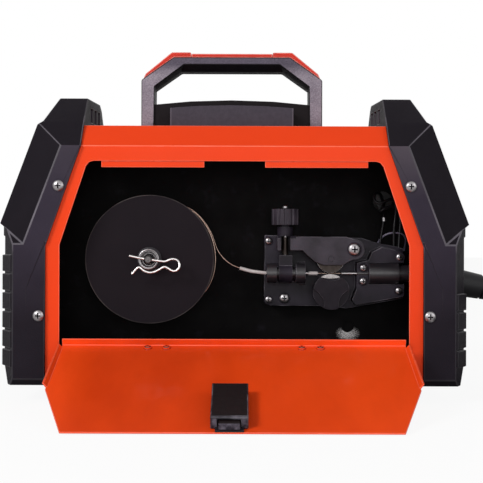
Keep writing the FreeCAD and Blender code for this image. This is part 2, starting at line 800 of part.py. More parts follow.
def pivot_screw():
    """The shouldered screw that the pressure arm turns on."""
    return fuse(
        rod("Y", feed_at("arm_pivot_x", "arm_pivot_z", 35.4), 5.2, 2.4),
        rod("Y", feed_at("arm_pivot_x", "arm_pivot_z", 37), 2.5, 32),
    )


def pressure_roller():
    return ring("Y", feed_at("roller_x", PRESS_Z, "wire_depth - roller_width / 2"),
                "press_radius", 2.56, "roller_width")


def roller_pin():
    return rod("Y", feed_at("roller_x", PRESS_Z, 38.6), 2.5, 18.2)


def drive_roller():
    """The grooved steel roller on the gearbox's shaft."""
    low = "wire_depth - roller_width / 2"
    return cut(
        rod("Y", feed_at("roller_x", DRIVE_Z, low), "drive_radius", "roller_width"),
        ring("Y", feed_at("roller_x", DRIVE_Z, f"{low} + 2"), 15, "drive_radius - 0.9", 1.6),
        ring("Y", feed_at("roller_x", DRIVE_Z, f"{low} + 7.4"), 15, "drive_radius - 0.9", 1.6),
        rod("Y", feed_at("roller_x", DRIVE_Z, f"{low} - 1"), 4, "roller_width + 2"),
    )


def drive_shaft():
    return rod("Y", feed_at("roller_x", DRIVE_Z, 37), 4, 52)


def roller_cap():
    """The cap that holds the drive roller on its shaft: a disc with a raised three lobed grip."""
    start = "wire_depth - roller_width / 2 - 8.5"
    scallops = []
    for turn in (90, 210, 330):
        x = f"roller_x + 21.5 * cos({turn})"
        z = f"{DRIVE_Z} + 21.5 * sin({turn})"
        scallops.append(rod("Y", (x, back(f"{start} - 1"), z), 13, 5))
    flat = rod("Y", ("roller_x", back(f"{start} - 1"), f"{DRIVE_Z} + 40"), 30, 12)
    return cut(
        rod("Y", feed_at("roller_x", DRIVE_Z, start), 14.2, 8.5), *scallops, flat,
        rod("Y", feed_at("roller_x", DRIVE_Z, f"{start} + 3"), 4, 10),
    )


def feed_motor():
    """The gear motor behind the inner wall, bored for its output shaft."""
    gearbox = box(feed_at("roller_x - 17", "wire_z - 34", "partition_depth + wall"), (34, 24, 38))
    motor = rod("Y", feed_at("roller_x", "wire_z - 12", "partition_depth + wall + 24"), 17, 46)
    return cut(fuse(gearbox, motor), rod("Y", feed_at("roller_x", DRIVE_Z, 70), 4.05, 21))


def tension_sleeve():
    """The sleeve that lets the tension rod swing out about the inlet guide."""
    return cut(
        fuse(
            rod("X", ("rod_x - 5", back("wire_depth"), "wire_z"), 7.8, 10.6),
            box(("rod_x - 5", back("wire_depth - 5"), "wire_z"), (10.6, 10, 14.5)),
        ),
        rod("X", ("rod_x - 7", back("wire_depth"), "wire_z"), 5.06, 16),
        rod("Z", ("rod_x", back("wire_depth"), "wire_z"), 1.65, 20),
    )


def tension_rod():
    return rod("Z", ("rod_x", back("wire_depth"), "wire_z + 6.2"), 1.65, 47.6)


def spring_cup():
    """The cup that presses on the pressure arm's fork."""
    return cut(
        rod("Z", ("rod_x", back("wire_depth"), "wire_z + saddle_radius + 0.04"), 6.25, 7),
        rod("Z", ("rod_x", back("wire_depth"), "wire_z + 20"), 1.8, 20),
    )


def tension_spring():
    return ring("Z", ("rod_x", back("wire_depth"), "wire_z + saddle_radius + 7.04"), 4.6, 3.2, 7.6)


def tension_knob():
    """The ribbed knob that sets the tension, hollow for the spring and the cup."""
    low = "wire_z + saddle_radius + 8.8"
    grooves = []
    for index in range(12):
        turn = 30 * index
        grooves.append(rod("Z", (f"rod_x + 11.6 * cos({turn})", back(f"wire_depth + 11.6 * sin({turn})"),
                                 f"{low} - 1"), 1.7, 16))
    return cut(
        rod("Z", ("rod_x", back("wire_depth"), low), 10.75, 12.6), *grooves,
        rod("Z", ("rod_x", back("wire_depth"), f"{low} - 1"), 6.6, 12),
        rod("Z", ("rod_x", back("wire_depth"), low), 1.75, 20),
    )


def feeder_cables():
    """Three thin wires from the inner wall down to the feeder's body."""
    wires = []
    wall = size(back("partition_depth + 1"))
    for shift in range(3):
        y = size(back(62 + 3.4 * shift))
        x, end = 117 + 4 * shift, 128 - 4 * shift
        wires.append(tube([
            Vector(x, wall, 160 - 4 * shift), Vector(x, y + 3, 160 - 4 * shift),
            Vector(x + 5, y, 149 - 3 * shift), Vector(135 - 2 * shift, y, 138 - 2 * shift),
            Vector(134 - 3 * shift, y, 128), Vector(end, y, 124 - 0.2 * (end - 116)),
        ], 1.3)[0])
    return Part.makeCompound(wires)


# --- electronics ------------------------------------------------------------------------------
BAY = "partition_depth + wall"


def main_board():
    return box((-118, back(f"{BAY} + 5"), 24), (166, 1.6, 140))


def board_posts():
    return group(*[
        rod("Y", (x, back(BAY), z), 3, 5) for x in (-112, 42) for z in (30, 158)
    ])


def heat_sinks():
    """Two finned aluminium heat sinks on the main board."""
    sinks = []
    for start in (-112, -34):
        base = box((start, back(f"{BAY} + 6.6"), 30), (62, 5, 46))
        fins = [box((start, back(f"{BAY} + 11"), 30 + 6.3 * row), (62, 45, 2.2)) for row in range(8)]
        sinks.append(fuse(base, *fins))
    return group(*sinks)


def transformer():
    core = box((-26, back(f"{BAY} + 6.6"), 92), (52, 46, 16))
    coil = box((-20, back(f"{BAY} + 10"), 84), (40, 39, 32))
    return fuse(core, coil)


def capacitors():
    return group(*[
        rod("Y", (x, back(f"{BAY} + 6.6"), 134), 15, 46) for x in (-100, -66, -32, 24)
    ])


def output_choke():
    return ring("Y", (108, back(f"{BAY} + 0.4"), 144), 27, 12, 30)


FAN = (-152.6, "machine_width - cover_inset - 2 * sheet - 40.6", 66)


def fan_frame():
    """The fan's square housing with its motor seat on four struts."""
    x, depth, z = FAN
    shell = cut(box((x, back(f"{depth} - 40"), z - 40), (25, 80, 80)),
                rod("X", (x - 1, back(depth), z), 37.6, 27))
    seat = rod("X", (x + 22, back(depth), z), 15, 3)
    struts = [
        box((x + 22, back(f"{depth} - 39"), z - 2), (3, 78, 4)),
        box((x + 22, back(f"{depth} - 2"), z - 39), (3, 4, 78)),
    ]
    pin = rod("X", (x + 5, back(depth), z), 1.5, 18)
    return fuse(shell, seat, *struts, pin)


def fan_rotor():
    """The fan's hub with seven pitched blades."""
    x, depth, z = FAN
    centre = Vector(x + 11, size(back(depth)), z)
    hub = rod("X", (x + 3, back(depth), z), 16, 18)
    blades = []
    for index in range(7):
        blade = box((0, 0, 0), (1.4, 22, 22))
        own = Placement(Vector(-0.7, -11, 14.5), Rotation())
        pitch = Placement(Vector(), Rotation(Vector(0, 0, 1), 52))
        spin = Placement(centre, Rotation(Vector(1, 0, 0), index * 360 / 7))
        release(blade)
        blade.Placement = spin.multiply(pitch).multiply(own)
        blades.append(blade)
    return cut(fuse(hub, *blades), rod("X", (x + 4, back(depth), z), 1.56, 20))


# --- end panels and controls ------------------------------------------------------------------
PANEL_FOOT = 123


def end_panel():
    """The front panel: one sheet bent where its upper part leans back, trimmed to fit the cover."""
    low = "cover_bottom + 0.2"
    sheet_shape = plate("XZ", [
        ("panel_face - panel_sheet", low), ("panel_face", low), ("panel_face", PANEL_FOOT),
        ("panel_face - 33.6", 207), ("panel_face - 36.3", 207),
        ("panel_face - panel_sheet", PANEL_FOOT - 0.5),
    ], back("cover_inset + sheet + 0.4"), "machine_width - 2 * (cover_inset + sheet + 0.4)")
    return overlap(sheet_shape, plate("YZ", cover_outline("sheet + 0.4"), 90, 100))


def on_panel(item, depth, up, side=1):
    """Stand a piece, drawn along +X from the origin, on the leaning part of an end panel."""
    lean = math.radians(size("end_slope"))
    x = size("panel_face") - math.sin(lean) * up
    z = PANEL_FOOT + math.cos(lean) * up
    release(item)
    seat = Placement(Vector(side * x, size(back(depth)), z),
                     Rotation(Vector(0, 1, 0), -math.degrees(lean) if side > 0 else 180 + math.degrees(lean)))
    item.Placement = seat.multiply(item.Placement)
    return item


DISPLAY = (82.5, 64)
KNOBS = {"voltage_knob": (48, 26), "current_knob": (117, 26)}
BUTTON = (82.5, 26)
SWITCH = (82.5, 40)
SOCKETS = (92, 126)
SOCKET_Z = 50


def front_panel():
    tools = [
        rod("X", ("panel_face - 6", back("torch_depth"), "torch_z"), 12.2, 12),
        on_panel(box((-6, -25, -12), (12, 50, 24)), *DISPLAY),
        on_panel(rod("X", (-6, 0, 0), 4.2, 12), *BUTTON),
    ]
    tools += [on_panel(rod("X", (-6, 0, 0), 3.2, 12), *place) for place in KNOBS.values()]
    tools += [rod("X", ("panel_face - 6", back(depth), SOCKET_Z), 12, 12) for depth in SOCKETS]
    return cut(end_panel(), *tools)


def rear_panel():
    tools = [box(("-panel_face - 3", back(86), 31 + 8 * row), (12, 56, 4.4)) for row in range(10)]
    tools += [
        rod("X", ("-panel_face - 3", back(GAS_DEPTH), GAS_Z), 5, 12),
        rod("X", ("-panel_face - 3", back(GAS_DEPTH), CORD_Z), 8, 12),
        on_panel(box((-6, -13.2, -9.2), (12, 26.4, 18.4)), *SWITCH, side=-1),
    ]
    return cut(mirror(end_panel(), "X"), *tools)


def display_window():
    """The clear window over the digits, from behind the panel."""
    return on_panel(fuse(box((-3.6, -24.8, -11.8), (4.4, 49.6, 23.6)),
                         box((-4.6, -27, -14), (1.6, 54, 28))), *DISPLAY)


def control_knob(place):
    """A skirted knob with its shaft through the panel."""
    return on_panel(fuse(taper("X", (0.8, 0, 0), 12, 10, 13), rod("X", (-6, 0, 0), 3.1, 8)), *place)


def push_button():
    return on_panel(fuse(rod("X", (-5, 0, 0), 4, 9), rod("X", (-5, 0, 0), 5, 1.6)), *BUTTON)


def output_sockets():
    """Two quarter-turn sockets: an insulating body and a brass sleeve in each."""
    items = []
    for depth in SOCKETS:
        at = lambda start: (f"panel_face {start}", back(depth), SOCKET_Z)
        items.append(cut(
            fuse(rod("X", at("+ 0"), 15.5, 5), rod("X", at("- 24"), 11.9, 28)),
            rod("X", at("- 20"), 7, 40),
        ))
        items.append(ring("X", at("- 20"), 7, 4.6, 23))
    return group(*items)


def power_switch():
    """A rocker on a cross pin."""
    rocker = plate("XZ", [(-3.5, -8), (0.6, -8), (1.2, -7.4), (1.5, 0), (4.6, 7.3), (3.8, 8),
                          (-3.5, 8)], -12, 24)
    return on_panel(fuse(rocker, rod("Y", (-2, -13, 0), 1.4, 26)), *SWITCH, side=-1)


def cord_gland():
    """The mains lead's gland in the rear panel."""
    return cut(
        fuse(
            rod("X", ("-panel_face - 14", back(GAS_DEPTH), CORD_Z), 9.5, 14),
            rod("X", ("-panel_face", back(GAS_DEPTH), CORD_Z), 7.9, 8),
        ),
        rod("X", ("-panel_face - 15", back(GAS_DEPTH), CORD_Z), 4.5, 24),
    )


def gas_inlet():
    """The barbed brass gas inlet in the rear panel."""
    at = lambda start: (f"-panel_face {start}", back(GAS_DEPTH), GAS_Z)
    return cut(
        fuse(rod("X", at("- 3"), 8, 3), rod("X", at("+ 0"), 4.9, 8), rod("X", at("- 14"), 3.6, 11),
             taper("X", at("- 14"), 3.6, 4.6, 4), taper("X", at("- 9"), 3.6, 4.6, 4)),
        rod("X", at("- 15"), 2, 24),
    )


# --- carrying handle --------------------------------------------------------------------------
def handle_x(offset):
    return f"handle_x + ({offset})"


def handle_body():
    """The arch handle with the low bridge between its posts."""
    base = f"{COVER_TOP} + 0.1"
    half, bar = "handle_half", "handle_band"
    outer = [
        (handle_x(f"-{half}"), base), (handle_x(f"-{half}"), "handle_shoulder"),
        (handle_x(f"-({half} - 26.3)"), "handle_crown"), (handle_x(f"{half} - 26.3"), "handle_crown"),
        (handle_x(half), "handle_shoulder"), (handle_x(half), base),
    ]
    inner = [
        (handle_x(f"-({half} - {bar})"), "cover_crease"),
        (handle_x(f"-({half} - {bar})"), "handle_shoulder - 8"),
        (handle_x(f"-({half} - {bar} - 22)"), "handle_crown - 11"),
        (handle_x(f"{half} - {bar} - 22"), "handle_crown - 11"),
        (handle_x(f"{half} - {bar}"), "handle_shoulder - 8"),
        (handle_x(f"{half} - {bar}"), "cover_crease"),
    ]
    arch = cut(plate("XZ", outer, back("handle_depth"), "handle_width"),
               plate("XZ", inner, back("handle_depth - 1"), "handle_width + 2"))
    bridge = plate("XZ", [
        (handle_x(f"-({half} - {bar} + 1)"), base), (handle_x(f"{half} - {bar} + 1"), base),
        (handle_x(f"{half} - {bar} + 1"), 234), (handle_x(34), 236.8), (handle_x(0), 237.8),
        (handle_x(-34), 236.8), (handle_x(f"-({half} - {bar} + 1)"), 234),
    ], back("handle_depth + 2"), "handle_width - 4")
    bolts = [rod("Z", (handle_x(sign * 68.8), back("handle_depth + handle_width / 2"), 200), 2.05, 30)
             for sign in (-1, 1)]
    return cut(fuse(arch, bridge), *bolts)


def handle_strip():
    """The red grip strip along the handle's crown and shoulders, thinner in its middle."""
    top, crown = "handle_crown + strip_height", "handle_crown + 0.05"
    right = [
        (47.5, crown), (72.5, "handle_shoulder + 1"), (70.6, "handle_shoulder + 5.4"),
        (49.2, top), (34, top), (33, f"{top} - 1"),
    ]
    points = [(handle_x(x), z) for x, z in right]
    points += [(handle_x(-x), z) for x, z in reversed(right)]
    strip = plate("XZ", points, back("handle_depth + 2.5"), "handle_width - 5")
    return strip


def handle_plinth():
    """The grey arched plinth in front of and behind the handle's bridge."""
    face = plate("XZ", [
        (handle_x(-48.6), f"{COVER_TOP} + 0.1"), (handle_x(49.2), f"{COVER_TOP} + 0.1"),
        (handle_x(49.2), 228), (handle_x(25), 229.6), (handle_x(0), 230.2), (handle_x(-25), 229.6),
        (handle_x(-48.6), 228),
    ], back("handle_depth - 27"), 28.9)
    return group(face, mirror(face, "Y"))


def body_screws():
    """The feet's screws and the handle's bolts."""
    feet = [
        fuse(rod("Z", (x, back(y), 2), 4.6, 3), rod("Z", (x, back(y), 4), 2.4, 15))
        for x, y in FOOT_PLACES
    ]
    bolts = []
    for sign in (-1, 1):
        at = lambda z: (handle_x(sign * 68.8), back("handle_depth + handle_width / 2"), z)
        bolts.append(fuse(rod("Z", at(f"{COVER_TOP} - sheet - 3"), 4.2, 3),
                          rod("Z", at(f"{COVER_TOP} - sheet - 1"), 2, 20)))
    return group(*feet, *bolts)


# --- torch and its lead ------------------------------------------------------------------------
COIL_CENTRE = (324, -36)
COIL_RADII = (77, 91)
GUN = (318, 118, 16)


def along_exit(distance):
    """A point on the line that the torch lead leaves the front panel on."""
    droop = math.radians(size("torch_droop"))
    return Vector(163 + distance * math.cos(droop), size(back("torch_depth")),
                  size("torch_z") - distance * math.sin(droop))


def torch_gland():
    """The panel nut and sleeve, and the tapered rubber boot that the lead comes out of."""
    bore = "lead_radius + 0.05"
    nut = cut(
        fuse(rod("X", ("panel_face", back("torch_depth"), "torch_z"), 16, 5),
             rod("X", ("panel_face - 12", back("torch_depth"), "torch_z"), 12, 13)),
        exit_line(rod("X", (-30, 0, 0), bore, 60)), exit_line(rod("X", (-3.4, 0, 0), 12.4, 20)),
    )
    boot = exit_line(cut(taper("X", (-3.4, 0, 0), 11.9, 8.5, 58), rod("X", (-5, 0, 0), bore, 64),
                         rod("X", (34, 0, 0), "lead_radius + 0.5", 30)))
    return group(nut, boot)


def exit_line(item):
    """Turn a piece drawn along +X from the origin onto the lead's exit line."""
    release(item)
    seat = Placement(along_exit(0), Rotation(Vector(0, 1, 0), size("torch_droop")))
    item.Placement = seat.multiply(item.Placement)
    return item


def torch_lead():
    """The lead's free stretches: down from the boot to the coil, and from the coil to the gun."""
    x, depth = COIL_CENTRE
    y = size(back(depth))
    outer = COIL_RADII[1]
    fall = [along_exit(10), along_exit(66), Vector(299, y + outer - 2, 61)]
    for turn, height in ((74, 47), (48, 36), (23, 27), (2, 22)):
        angle = math.radians(turn)
        fall.append(Vector(x + outer * math.cos(angle), y + outer * math.sin(angle), height))
    floor = size("lead_radius") + 0.2
    tail = [
        Vector(x + aside, y + along, floor + rise)
        for aside, along, rise in ((-82, -40, 0), (-94.5, -11.5, 0), (-110, 23.5, 0),
                                   (-115.5, 66, 0), (-103, 107, 1), (-74.5, 137.5, 4))
    ]
    gun_y = size(back(GUN[1]))
    tail += [Vector(GUN[0] - 31.5, gun_y, GUN[2]), Vector(GUN[0] + 8, gun_y, GUN[2])]
    solids = []
    for points in (fall, tail):
        solid, least, length = tube(points, size("lead_radius"))
        print(f"torch lead stretch {length:.0f} long, least radius {least:.0f}")
        solids.append(solid)
    return Part.makeCompound(solids)


def coil_shape():
    x, depth = COIL_CENTRE
    centre = Vector(x, size(back(depth)), 0)
    outer = Part.makeCylinder(COIL_RADII[1] + 8, 28.6, centre)
    return outer.cut(Part.makeCylinder(COIL_RADII[0] - 8, 28.6, centre))


def gun_at(along, aside, height=0):
    """A point on the torch: along it from its rear, and aside towards its trigger."""
    return (GUN[0] + along, back(GUN[1] - aside), GUN[2] + height)


def gun_outline(points, start, depth):
    return plate("XY", [gun_at(*point)[:2] for point in points], start, depth)


def torch_handle():
    """The torch's handle shells and the rubber boot at its rear."""
    shell = gun_outline([
        (28, -12), (60, -15), (118, -16), (143, -13), (148, -9), (148, 9), (140, 15), (122, 17),
        (118, 7), (86, 7), (82, 16), (60, 15), (28, 12),
    ], 0.4, 31)
    boot = taper("X", gun_at(0, 0), 9, 12, 30)
    pin_hole = rod("Z", gun_at(113, 12.5, -20), 1.56, 40)
    cheeks = gun_outline([(83, 6.9), (119, 6.9), (122, 22), (83, 22)], 5.4, 21)
    bore = rod("X", gun_at(-1, 0), "lead_radius + 0.05", 26)
    body = gun_outline([(104, 6), (119, 6), (121, 16), (108, 15.5)], 0.4, 31)
    body = cut(body, cheeks, pin_hole)
    return group(cut(fuse(cut(shell, bore), body), rod("X", gun_at(136, 0), 8.05, 20)),
                 cut(boot, bore, box(gun_at(28, 20, -20), (10, 40, 40))))


def torch_trigger():
    return cut(
        gun_outline([(87, 11), (105, 9), (116, 9), (117, 14), (113, 16.5), (95, 20), (87, 18)], 6, 19.8),
        rod("Z", gun_at(113, 12.5, -20), 1.62, 40),
    )


def trigger_pin():
    return rod("Z", gun_at(113, 12.5, -15.4), 1.55, 30.8)


NECK = [(137, 0), (164, 0), (190, 12), (207, 31)]


def neck_points():
    return [Vector(*[size(text) for text in gun_at(*point)]) for point in NECK]


def torch_neck():
    return tube(neck_points(), 8)[0]


def torch_nozzle():
    """The copper nozzle and, inside it, the contact tip."""
    end = neck_points()[-1]
    way = end - neck_points()[-2]
    way.normalize()
    nozzle = Part.makeCylinder(9.5, 40, end - way * 6, way)
    nozzle = nozzle.cut(Part.makeCylinder(8.03, 7, end - way * 7, way))
    nozzle = nozzle.cut(Part.makeCylinder(7, 40, end, way))
    tip = Part.makeCylinder(3.2, 32, end + way * 0.05, way)
    return Part.makeCompound([nozzle, tip])


# --- assembly -----------------------------------------------------------------------------------
def control_board():
    """The board behind the front panel, on the display's rear."""
    return on_panel(box((-9, -3, -22), (1.6, 60, 52)), 82.5, 48)


def build():
    node(end_frame(4), "front_frame")
    node(mirror(end_frame(6), "X"), "rear_frame")
    node(frame_screws(), "frame_screws")
    node(side_cover(), "side_cover")
    node(base_tray(), "base_tray")
    node(partition(), "partition")
    node(group(*[rubber_foot(x, y) for x, y in FOOT_PLACES]), "rubber_feet")
    node(body_screws(), "body_screws")

    fixed = [hinge_leaf(centre, False) for centre in HINGE_CENTRES]
    node(group(*fixed, hinge_rivets(False), hinge_pins()), "hinge_leaves")
    moving = [hinge_leaf(centre, True) for centre in HINGE_CENTRES]
    node(swing_open(group(*moving, hinge_rivets(True))), "door_hinge_leaves")
    node(swing_open(door_panel()), "door_panel")
    node(swing_open(latch_housing()), "latch_housing")
    node(swing_open(latch_bolt()), "latch_bolt")

    node(wire_spool(), "wire_spool")
    node(wire_winding(), "wire_winding")
    node(spool_spindle(), "spool_spindle")
    node(group(spindle_bolt(), brake_washer(), brake_spring()), "spindle_bolt")
    shape_node("spring_clip", spring_clip())

    node(feeder_body(), "feeder_body")
    node(group(feeder_screws(), pivot_screw()), "feeder_screws")
    node(group(inlet_guide(), outlet_guide()), "wire_guides")
    node(guide_tips(), "guide_tips")
    shape_node("wire_liner", wire_liner())
    shape_node("welding_wire", welding_wire())
    node(group(pressure_arm(), roller_pin()), "pressure_arm")
    node(pressure_roller(), "pressure_roller")
    node(drive_roller(), "drive_roller")
    node(drive_shaft(), "drive_shaft")
    node(roller_cap(), "roller_cap")
    node(feed_motor(), "feed_motor")
    node(tension_sleeve(), "tension_sleeve")
    node(tension_rod(), "tension_rod")
    node(group(spring_cup(), tension_spring()), "spring_cup")
    node(tension_knob(), "tension_knob")
    shape_node("feeder_cables", feeder_cables())

    node(group(main_board(), board_posts(), control_board()), "circuit_boards")
    node(group(heat_sinks(), transformer(), capacitors(), output_choke()), "board_parts")
    node(fan_frame(), "fan_frame")
    node(fan_rotor(), "fan_rotor")

    node(front_panel(), "front_panel")
    node(rear_panel(), "rear_panel")
    node(display_window(), "display_window")
    for name, place in KNOBS.items():
        node(control_knob(place), name)
    node(push_button(), "mode_button")
    node(output_sockets(), "output_sockets")
    node(power_switch(), "power_switch")
    node(cord_gland(), "cord_gland")
    node(gas_inlet(), "gas_inlet")

    node(handle_body(), "handle_body")
    node(handle_strip(), "handle_strip")
    node(handle_plinth(), "handle_plinth")

    node(torch_gland(), "torch_gland")
    shape_node("torch_lead", torch_lead())
    shape_node("torch_coil", coil_shape())
    node(group(torch_handle(), trigger_pin()), "torch_handle")
    node(torch_trigger(), "torch_trigger")
    shape_node("torch_neck", torch_neck())
    shape_node("torch_nozzle", torch_nozzle())


def export():
    """Check every object, then write one STEP file for each piece."""
    doc.recompute()
    failed = [item.Name for item in doc.Objects if "Invalid" in item.State or "Error" in item.State]
    if failed:
        raise RuntimeError(f"these objects failed: {failed}")
    for name, item in NODES.items():
        if item.Shape.isNull() or not item.Shape.isValid() or not item.Shape.Solids:
            raise RuntimeError(f"{name} has no valid shape")
    os.makedirs("parts", exist_ok=True)
    for name, item in NODES.items():
        item.Shape.exportStep(f"parts/{name}.step")
    print(len(NODES), "pieces")


build()
export()
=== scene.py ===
"""A compact MIG welding machine with its wire compartment open: its finishes and fine pieces."""
import math
import bmesh
import bpy
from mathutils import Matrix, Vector


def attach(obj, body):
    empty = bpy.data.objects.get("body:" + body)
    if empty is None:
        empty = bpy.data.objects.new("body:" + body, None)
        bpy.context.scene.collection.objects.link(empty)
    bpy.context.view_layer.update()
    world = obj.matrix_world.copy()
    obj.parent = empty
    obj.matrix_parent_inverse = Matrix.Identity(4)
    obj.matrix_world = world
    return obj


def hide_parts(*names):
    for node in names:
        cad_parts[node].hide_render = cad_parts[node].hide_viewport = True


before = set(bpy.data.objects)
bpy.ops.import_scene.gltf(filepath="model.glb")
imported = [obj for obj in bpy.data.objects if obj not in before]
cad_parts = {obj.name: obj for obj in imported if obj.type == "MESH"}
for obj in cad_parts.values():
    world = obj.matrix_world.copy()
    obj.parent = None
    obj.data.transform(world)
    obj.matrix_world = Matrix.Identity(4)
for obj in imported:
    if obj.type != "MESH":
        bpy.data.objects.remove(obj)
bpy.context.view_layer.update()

# --- view, floor and light ---
# The machine is seen square on from its door side, at the height of the wire feeder. It stands on a
# pale floor under three large soft lights, and the background is white.
MIDDLE = Vector((0, 0, 0.1))
WHITE = (1, 1, 1, 1)
scene = bpy.context.scene
scene.view_settings.view_transform = "Standard"


def linked(name, data):
    """An object in the scene, from its mesh, curve, lamp or camera."""
    item = bpy.data.objects.new(name, data)
    scene.collection.objects.link(item)
    return item


camera_data = bpy.data.cameras.new("camera")
camera_data.lens = 82.1
camera_data.sensor_width = 36
camera_data.clip_start = 0.01
camera = linked("camera", camera_data)
camera.location = (0.0053, -0.8445, 0.1224)
camera.rotation_euler = (math.radians(90), math.radians(-0.2), 0)
scene.camera = camera


def soft_light(name, place, across, power):
    """A broad lamp that faces the machine's middle."""
    lamp = bpy.data.lights.new(name, "AREA")
    lamp.shape = "RECTANGLE"
    lamp.size, lamp.size_y = across
    lamp.energy = power
    item = linked(name, lamp)
    item.location = place
    item.rotation_euler = (MIDDLE - Vector(place)).to_track_quat("-Z", "Y").to_euler()


soft_light("front_light", (0.1, -2.0, 0.35), (1.0, 0.8), 10)
soft_light("key_light", (-1.1, -1.2, 1.0), (0.55, 0.5), 20)
soft_light("fill_light", (1.2, -0.9, 0.7), (0.8, 0.8), 4.5)


class Term:
    """A node's output that takes part in sums: each sum adds its Math node to the tree."""

    def __init__(self, tree, socket):
        self.tree = tree
        self.socket = socket

    def math(self, operation, other, turned=False):
        values = (other, self) if turned else (self, other)
        return self.tree.add("ShaderNodeMath", {"operation": operation}, dict(enumerate(values)))

    def __add__(self, other):
        return self.math("ADD", other)

    def __sub__(self, other):
        return self.math("SUBTRACT", other)

    def __rsub__(self, other):
        return self.math("SUBTRACT", other, True)

    def __mul__(self, other):
        return self.math("MULTIPLY", other)

    def __truediv__(self, other):
        return self.math("DIVIDE", other)

    def __pow__(self, other):
        return self.math("POWER", other)

    def over(self, limit):
        return self.math("GREATER_THAN", limit)

    def size(self):
        return self.math("ABSOLUTE", 0)

    def clamped(self, low=0, high=1):
        return self.math("MAXIMUM", low).math("MINIMUM", high)


class Tree:
    """A node tree, of a material, the world or Geometry Nodes, written call by call."""

    def __init__(self, nodes):
        self.nodes = nodes

    def add(self, kind, settings=None, values=None, output=0):
        """A node: its settings first, then the numbers or links of its inputs."""
        item = self.nodes.nodes.new(kind)
        for name, value in (settings or {}).items():
            setattr(item, name, value)
        for name, value in (values or {}).items():
            if isinstance(value, (Term, list)):
                for term in value if isinstance(value, list) else [value]:
                    self.nodes.links.new(term.socket, item.inputs[name])
            else:
                item.inputs[name].default_value = value
        return Term(self, item.outputs[output])

    def vector(self, x, y, z):
        return self.add("ShaderNodeCombineXYZ", values={0: x, 1: y, 2: z})


class Finish(Tree):
    """A surface finish: a material with one Principled shader.

    Where its colour, gloss or relief is a plain one, tint, rough and grain give what the methods of
    those names take. The other values go to the shader's sockets.
    """

    def __init__(self, name, tint=None, rough=None, grain=None, **values):
        self.material = bpy.data.materials.new(name)
        self.material.use_nodes = True
        super().__init__(self.material.node_tree)
        self.shader = self.nodes.nodes["Principled BSDF"]
        self.place = self.add("ShaderNodeTexCoord", output="Object")
        for name, value in values.items():
            self.set("Specular IOR Level" if name == "specular" else name.replace("_", " ").title(), value)
        for method, its_values in ((self.tint, tint), (self.rough, rough), (self.grain, grain)):
            if its_values:
                method(*its_values)

    def set(self, socket, value):
        if isinstance(value, Term):
            self.nodes.links.new(value.socket, self.shader.inputs[socket])
        else:
            self.shader.inputs[socket].default_value = value

    def noise(self, per_metre, detail=2, stretch=None):
        """Noise of about one blotch per 1 / per_metre metres, from 0 to 1."""
        place = self.place
        if stretch:
            place = self.add("ShaderNodeMapping", values={"Vector": place, "Scale": stretch})
        return self.add("ShaderNodeTexNoise", values={"Vector": place, "Scale": per_metre, "Detail": detail})

    def blotches(self, per_metre, detail, least, gain):
        """Where the noise is over the least, rising to 1 by the gain."""
        return ((self.noise(per_metre, detail) - least) * gain).clamped()

    def along(self, axis):
        """The place on the object along one axis, in metres."""
        return self.add("ShaderNodeSeparateXYZ", values={0: self.place}, output="XYZ".index(axis))

    def facing(self, axis):
        """How far the surface faces along one axis, from -1 to 1."""
        normal = self.add("ShaderNodeTexCoord", output="Normal")
        return self.add("ShaderNodeSeparateXYZ", values={0: normal}, output="XYZ".index(axis))

    def mix(self, first, second, share):
        """A colour between two, each of them red, green and blue or another mix."""
        first, second = [end if isinstance(end, Term) else (*end, 1) for end in (first, second)]
        return self.add("ShaderNodeMix", {"data_type": "RGBA"}, {0: share, 6: first, 7: second}, output=2)

    def paint(self, first, second, share):
        """A base colour between two."""
        self.set("Base Color", self.mix(first, second, share))

    def tint(self, first, second, per_metre, detail=4):
        """A base colour that drifts between two colours."""
        self.paint(first, second, self.noise(per_metre, detail))

    def rough(self, per_metre, detail, spread, least):
        """An uneven gloss: a roughness of the least and up to the spread more."""
        self.set("Roughness", self.noise(per_metre, detail) * spread + least)

    def grain(self, per_metre, detail, depth):
        """A fine grain, of a depth in metres."""
        values = {"Height": self.noise(per_metre, detail), "Distance": depth}
        self.set("Normal", self.add("ShaderNodeBump", values=values))


floor_mesh = bpy.data.meshes.new("floor")
floor_mesh.from_pydata([(-6, -4, 0), (6, -4, 0), (6, 8, 0), (-6, 8, 0)], [], [(0, 1, 2, 3)])
floor = linked("floor", floor_mesh)
FLOOR_GLOW = 0.92
pale_floor = Finish("pale_floor", base_color=(0.86, 0.86, 0.86, 1), roughness=0.8)
glow = pale_floor.add("ShaderNodeEmission", values={"Color": WHITE, "Strength": 1.0})
ray = pale_floor.add("ShaderNodeLightPath", output="Is Camera Ray")
floor_blend = pale_floor.add("ShaderNodeMixShader", values={
    0: ray * FLOOR_GLOW, 1: Term(pale_floor, pale_floor.shader.outputs[0]), 2: glow,
})
pale_floor.nodes.links.new(floor_blend.socket, pale_floor.nodes.nodes["Material Output"].inputs["Surface"])
floor_mesh.materials.append(pale_floor.material)

world = bpy.data.worlds.new("world")
scene.world = world
world.use_nodes = True
sky = Tree(world.node_tree)
RAYS = ("Is Camera Ray", "Is Glossy Ray", "Is Transmission Ray")
camera_ray, glossy_ray, through_ray = [sky.add("ShaderNodeLightPath", output=name) for name in RAYS]
white = camera_ray.math("MAXIMUM", glossy_ray).math("MAXIMUM", through_ray)
background = world.node_tree.nodes["Background"]
AMBIENT = 0.26
world.node_tree.links.new((white * (1 - AMBIENT) + AMBIENT).socket, background.inputs["Strength"])
background.inputs["Color"].default_value = WHITE

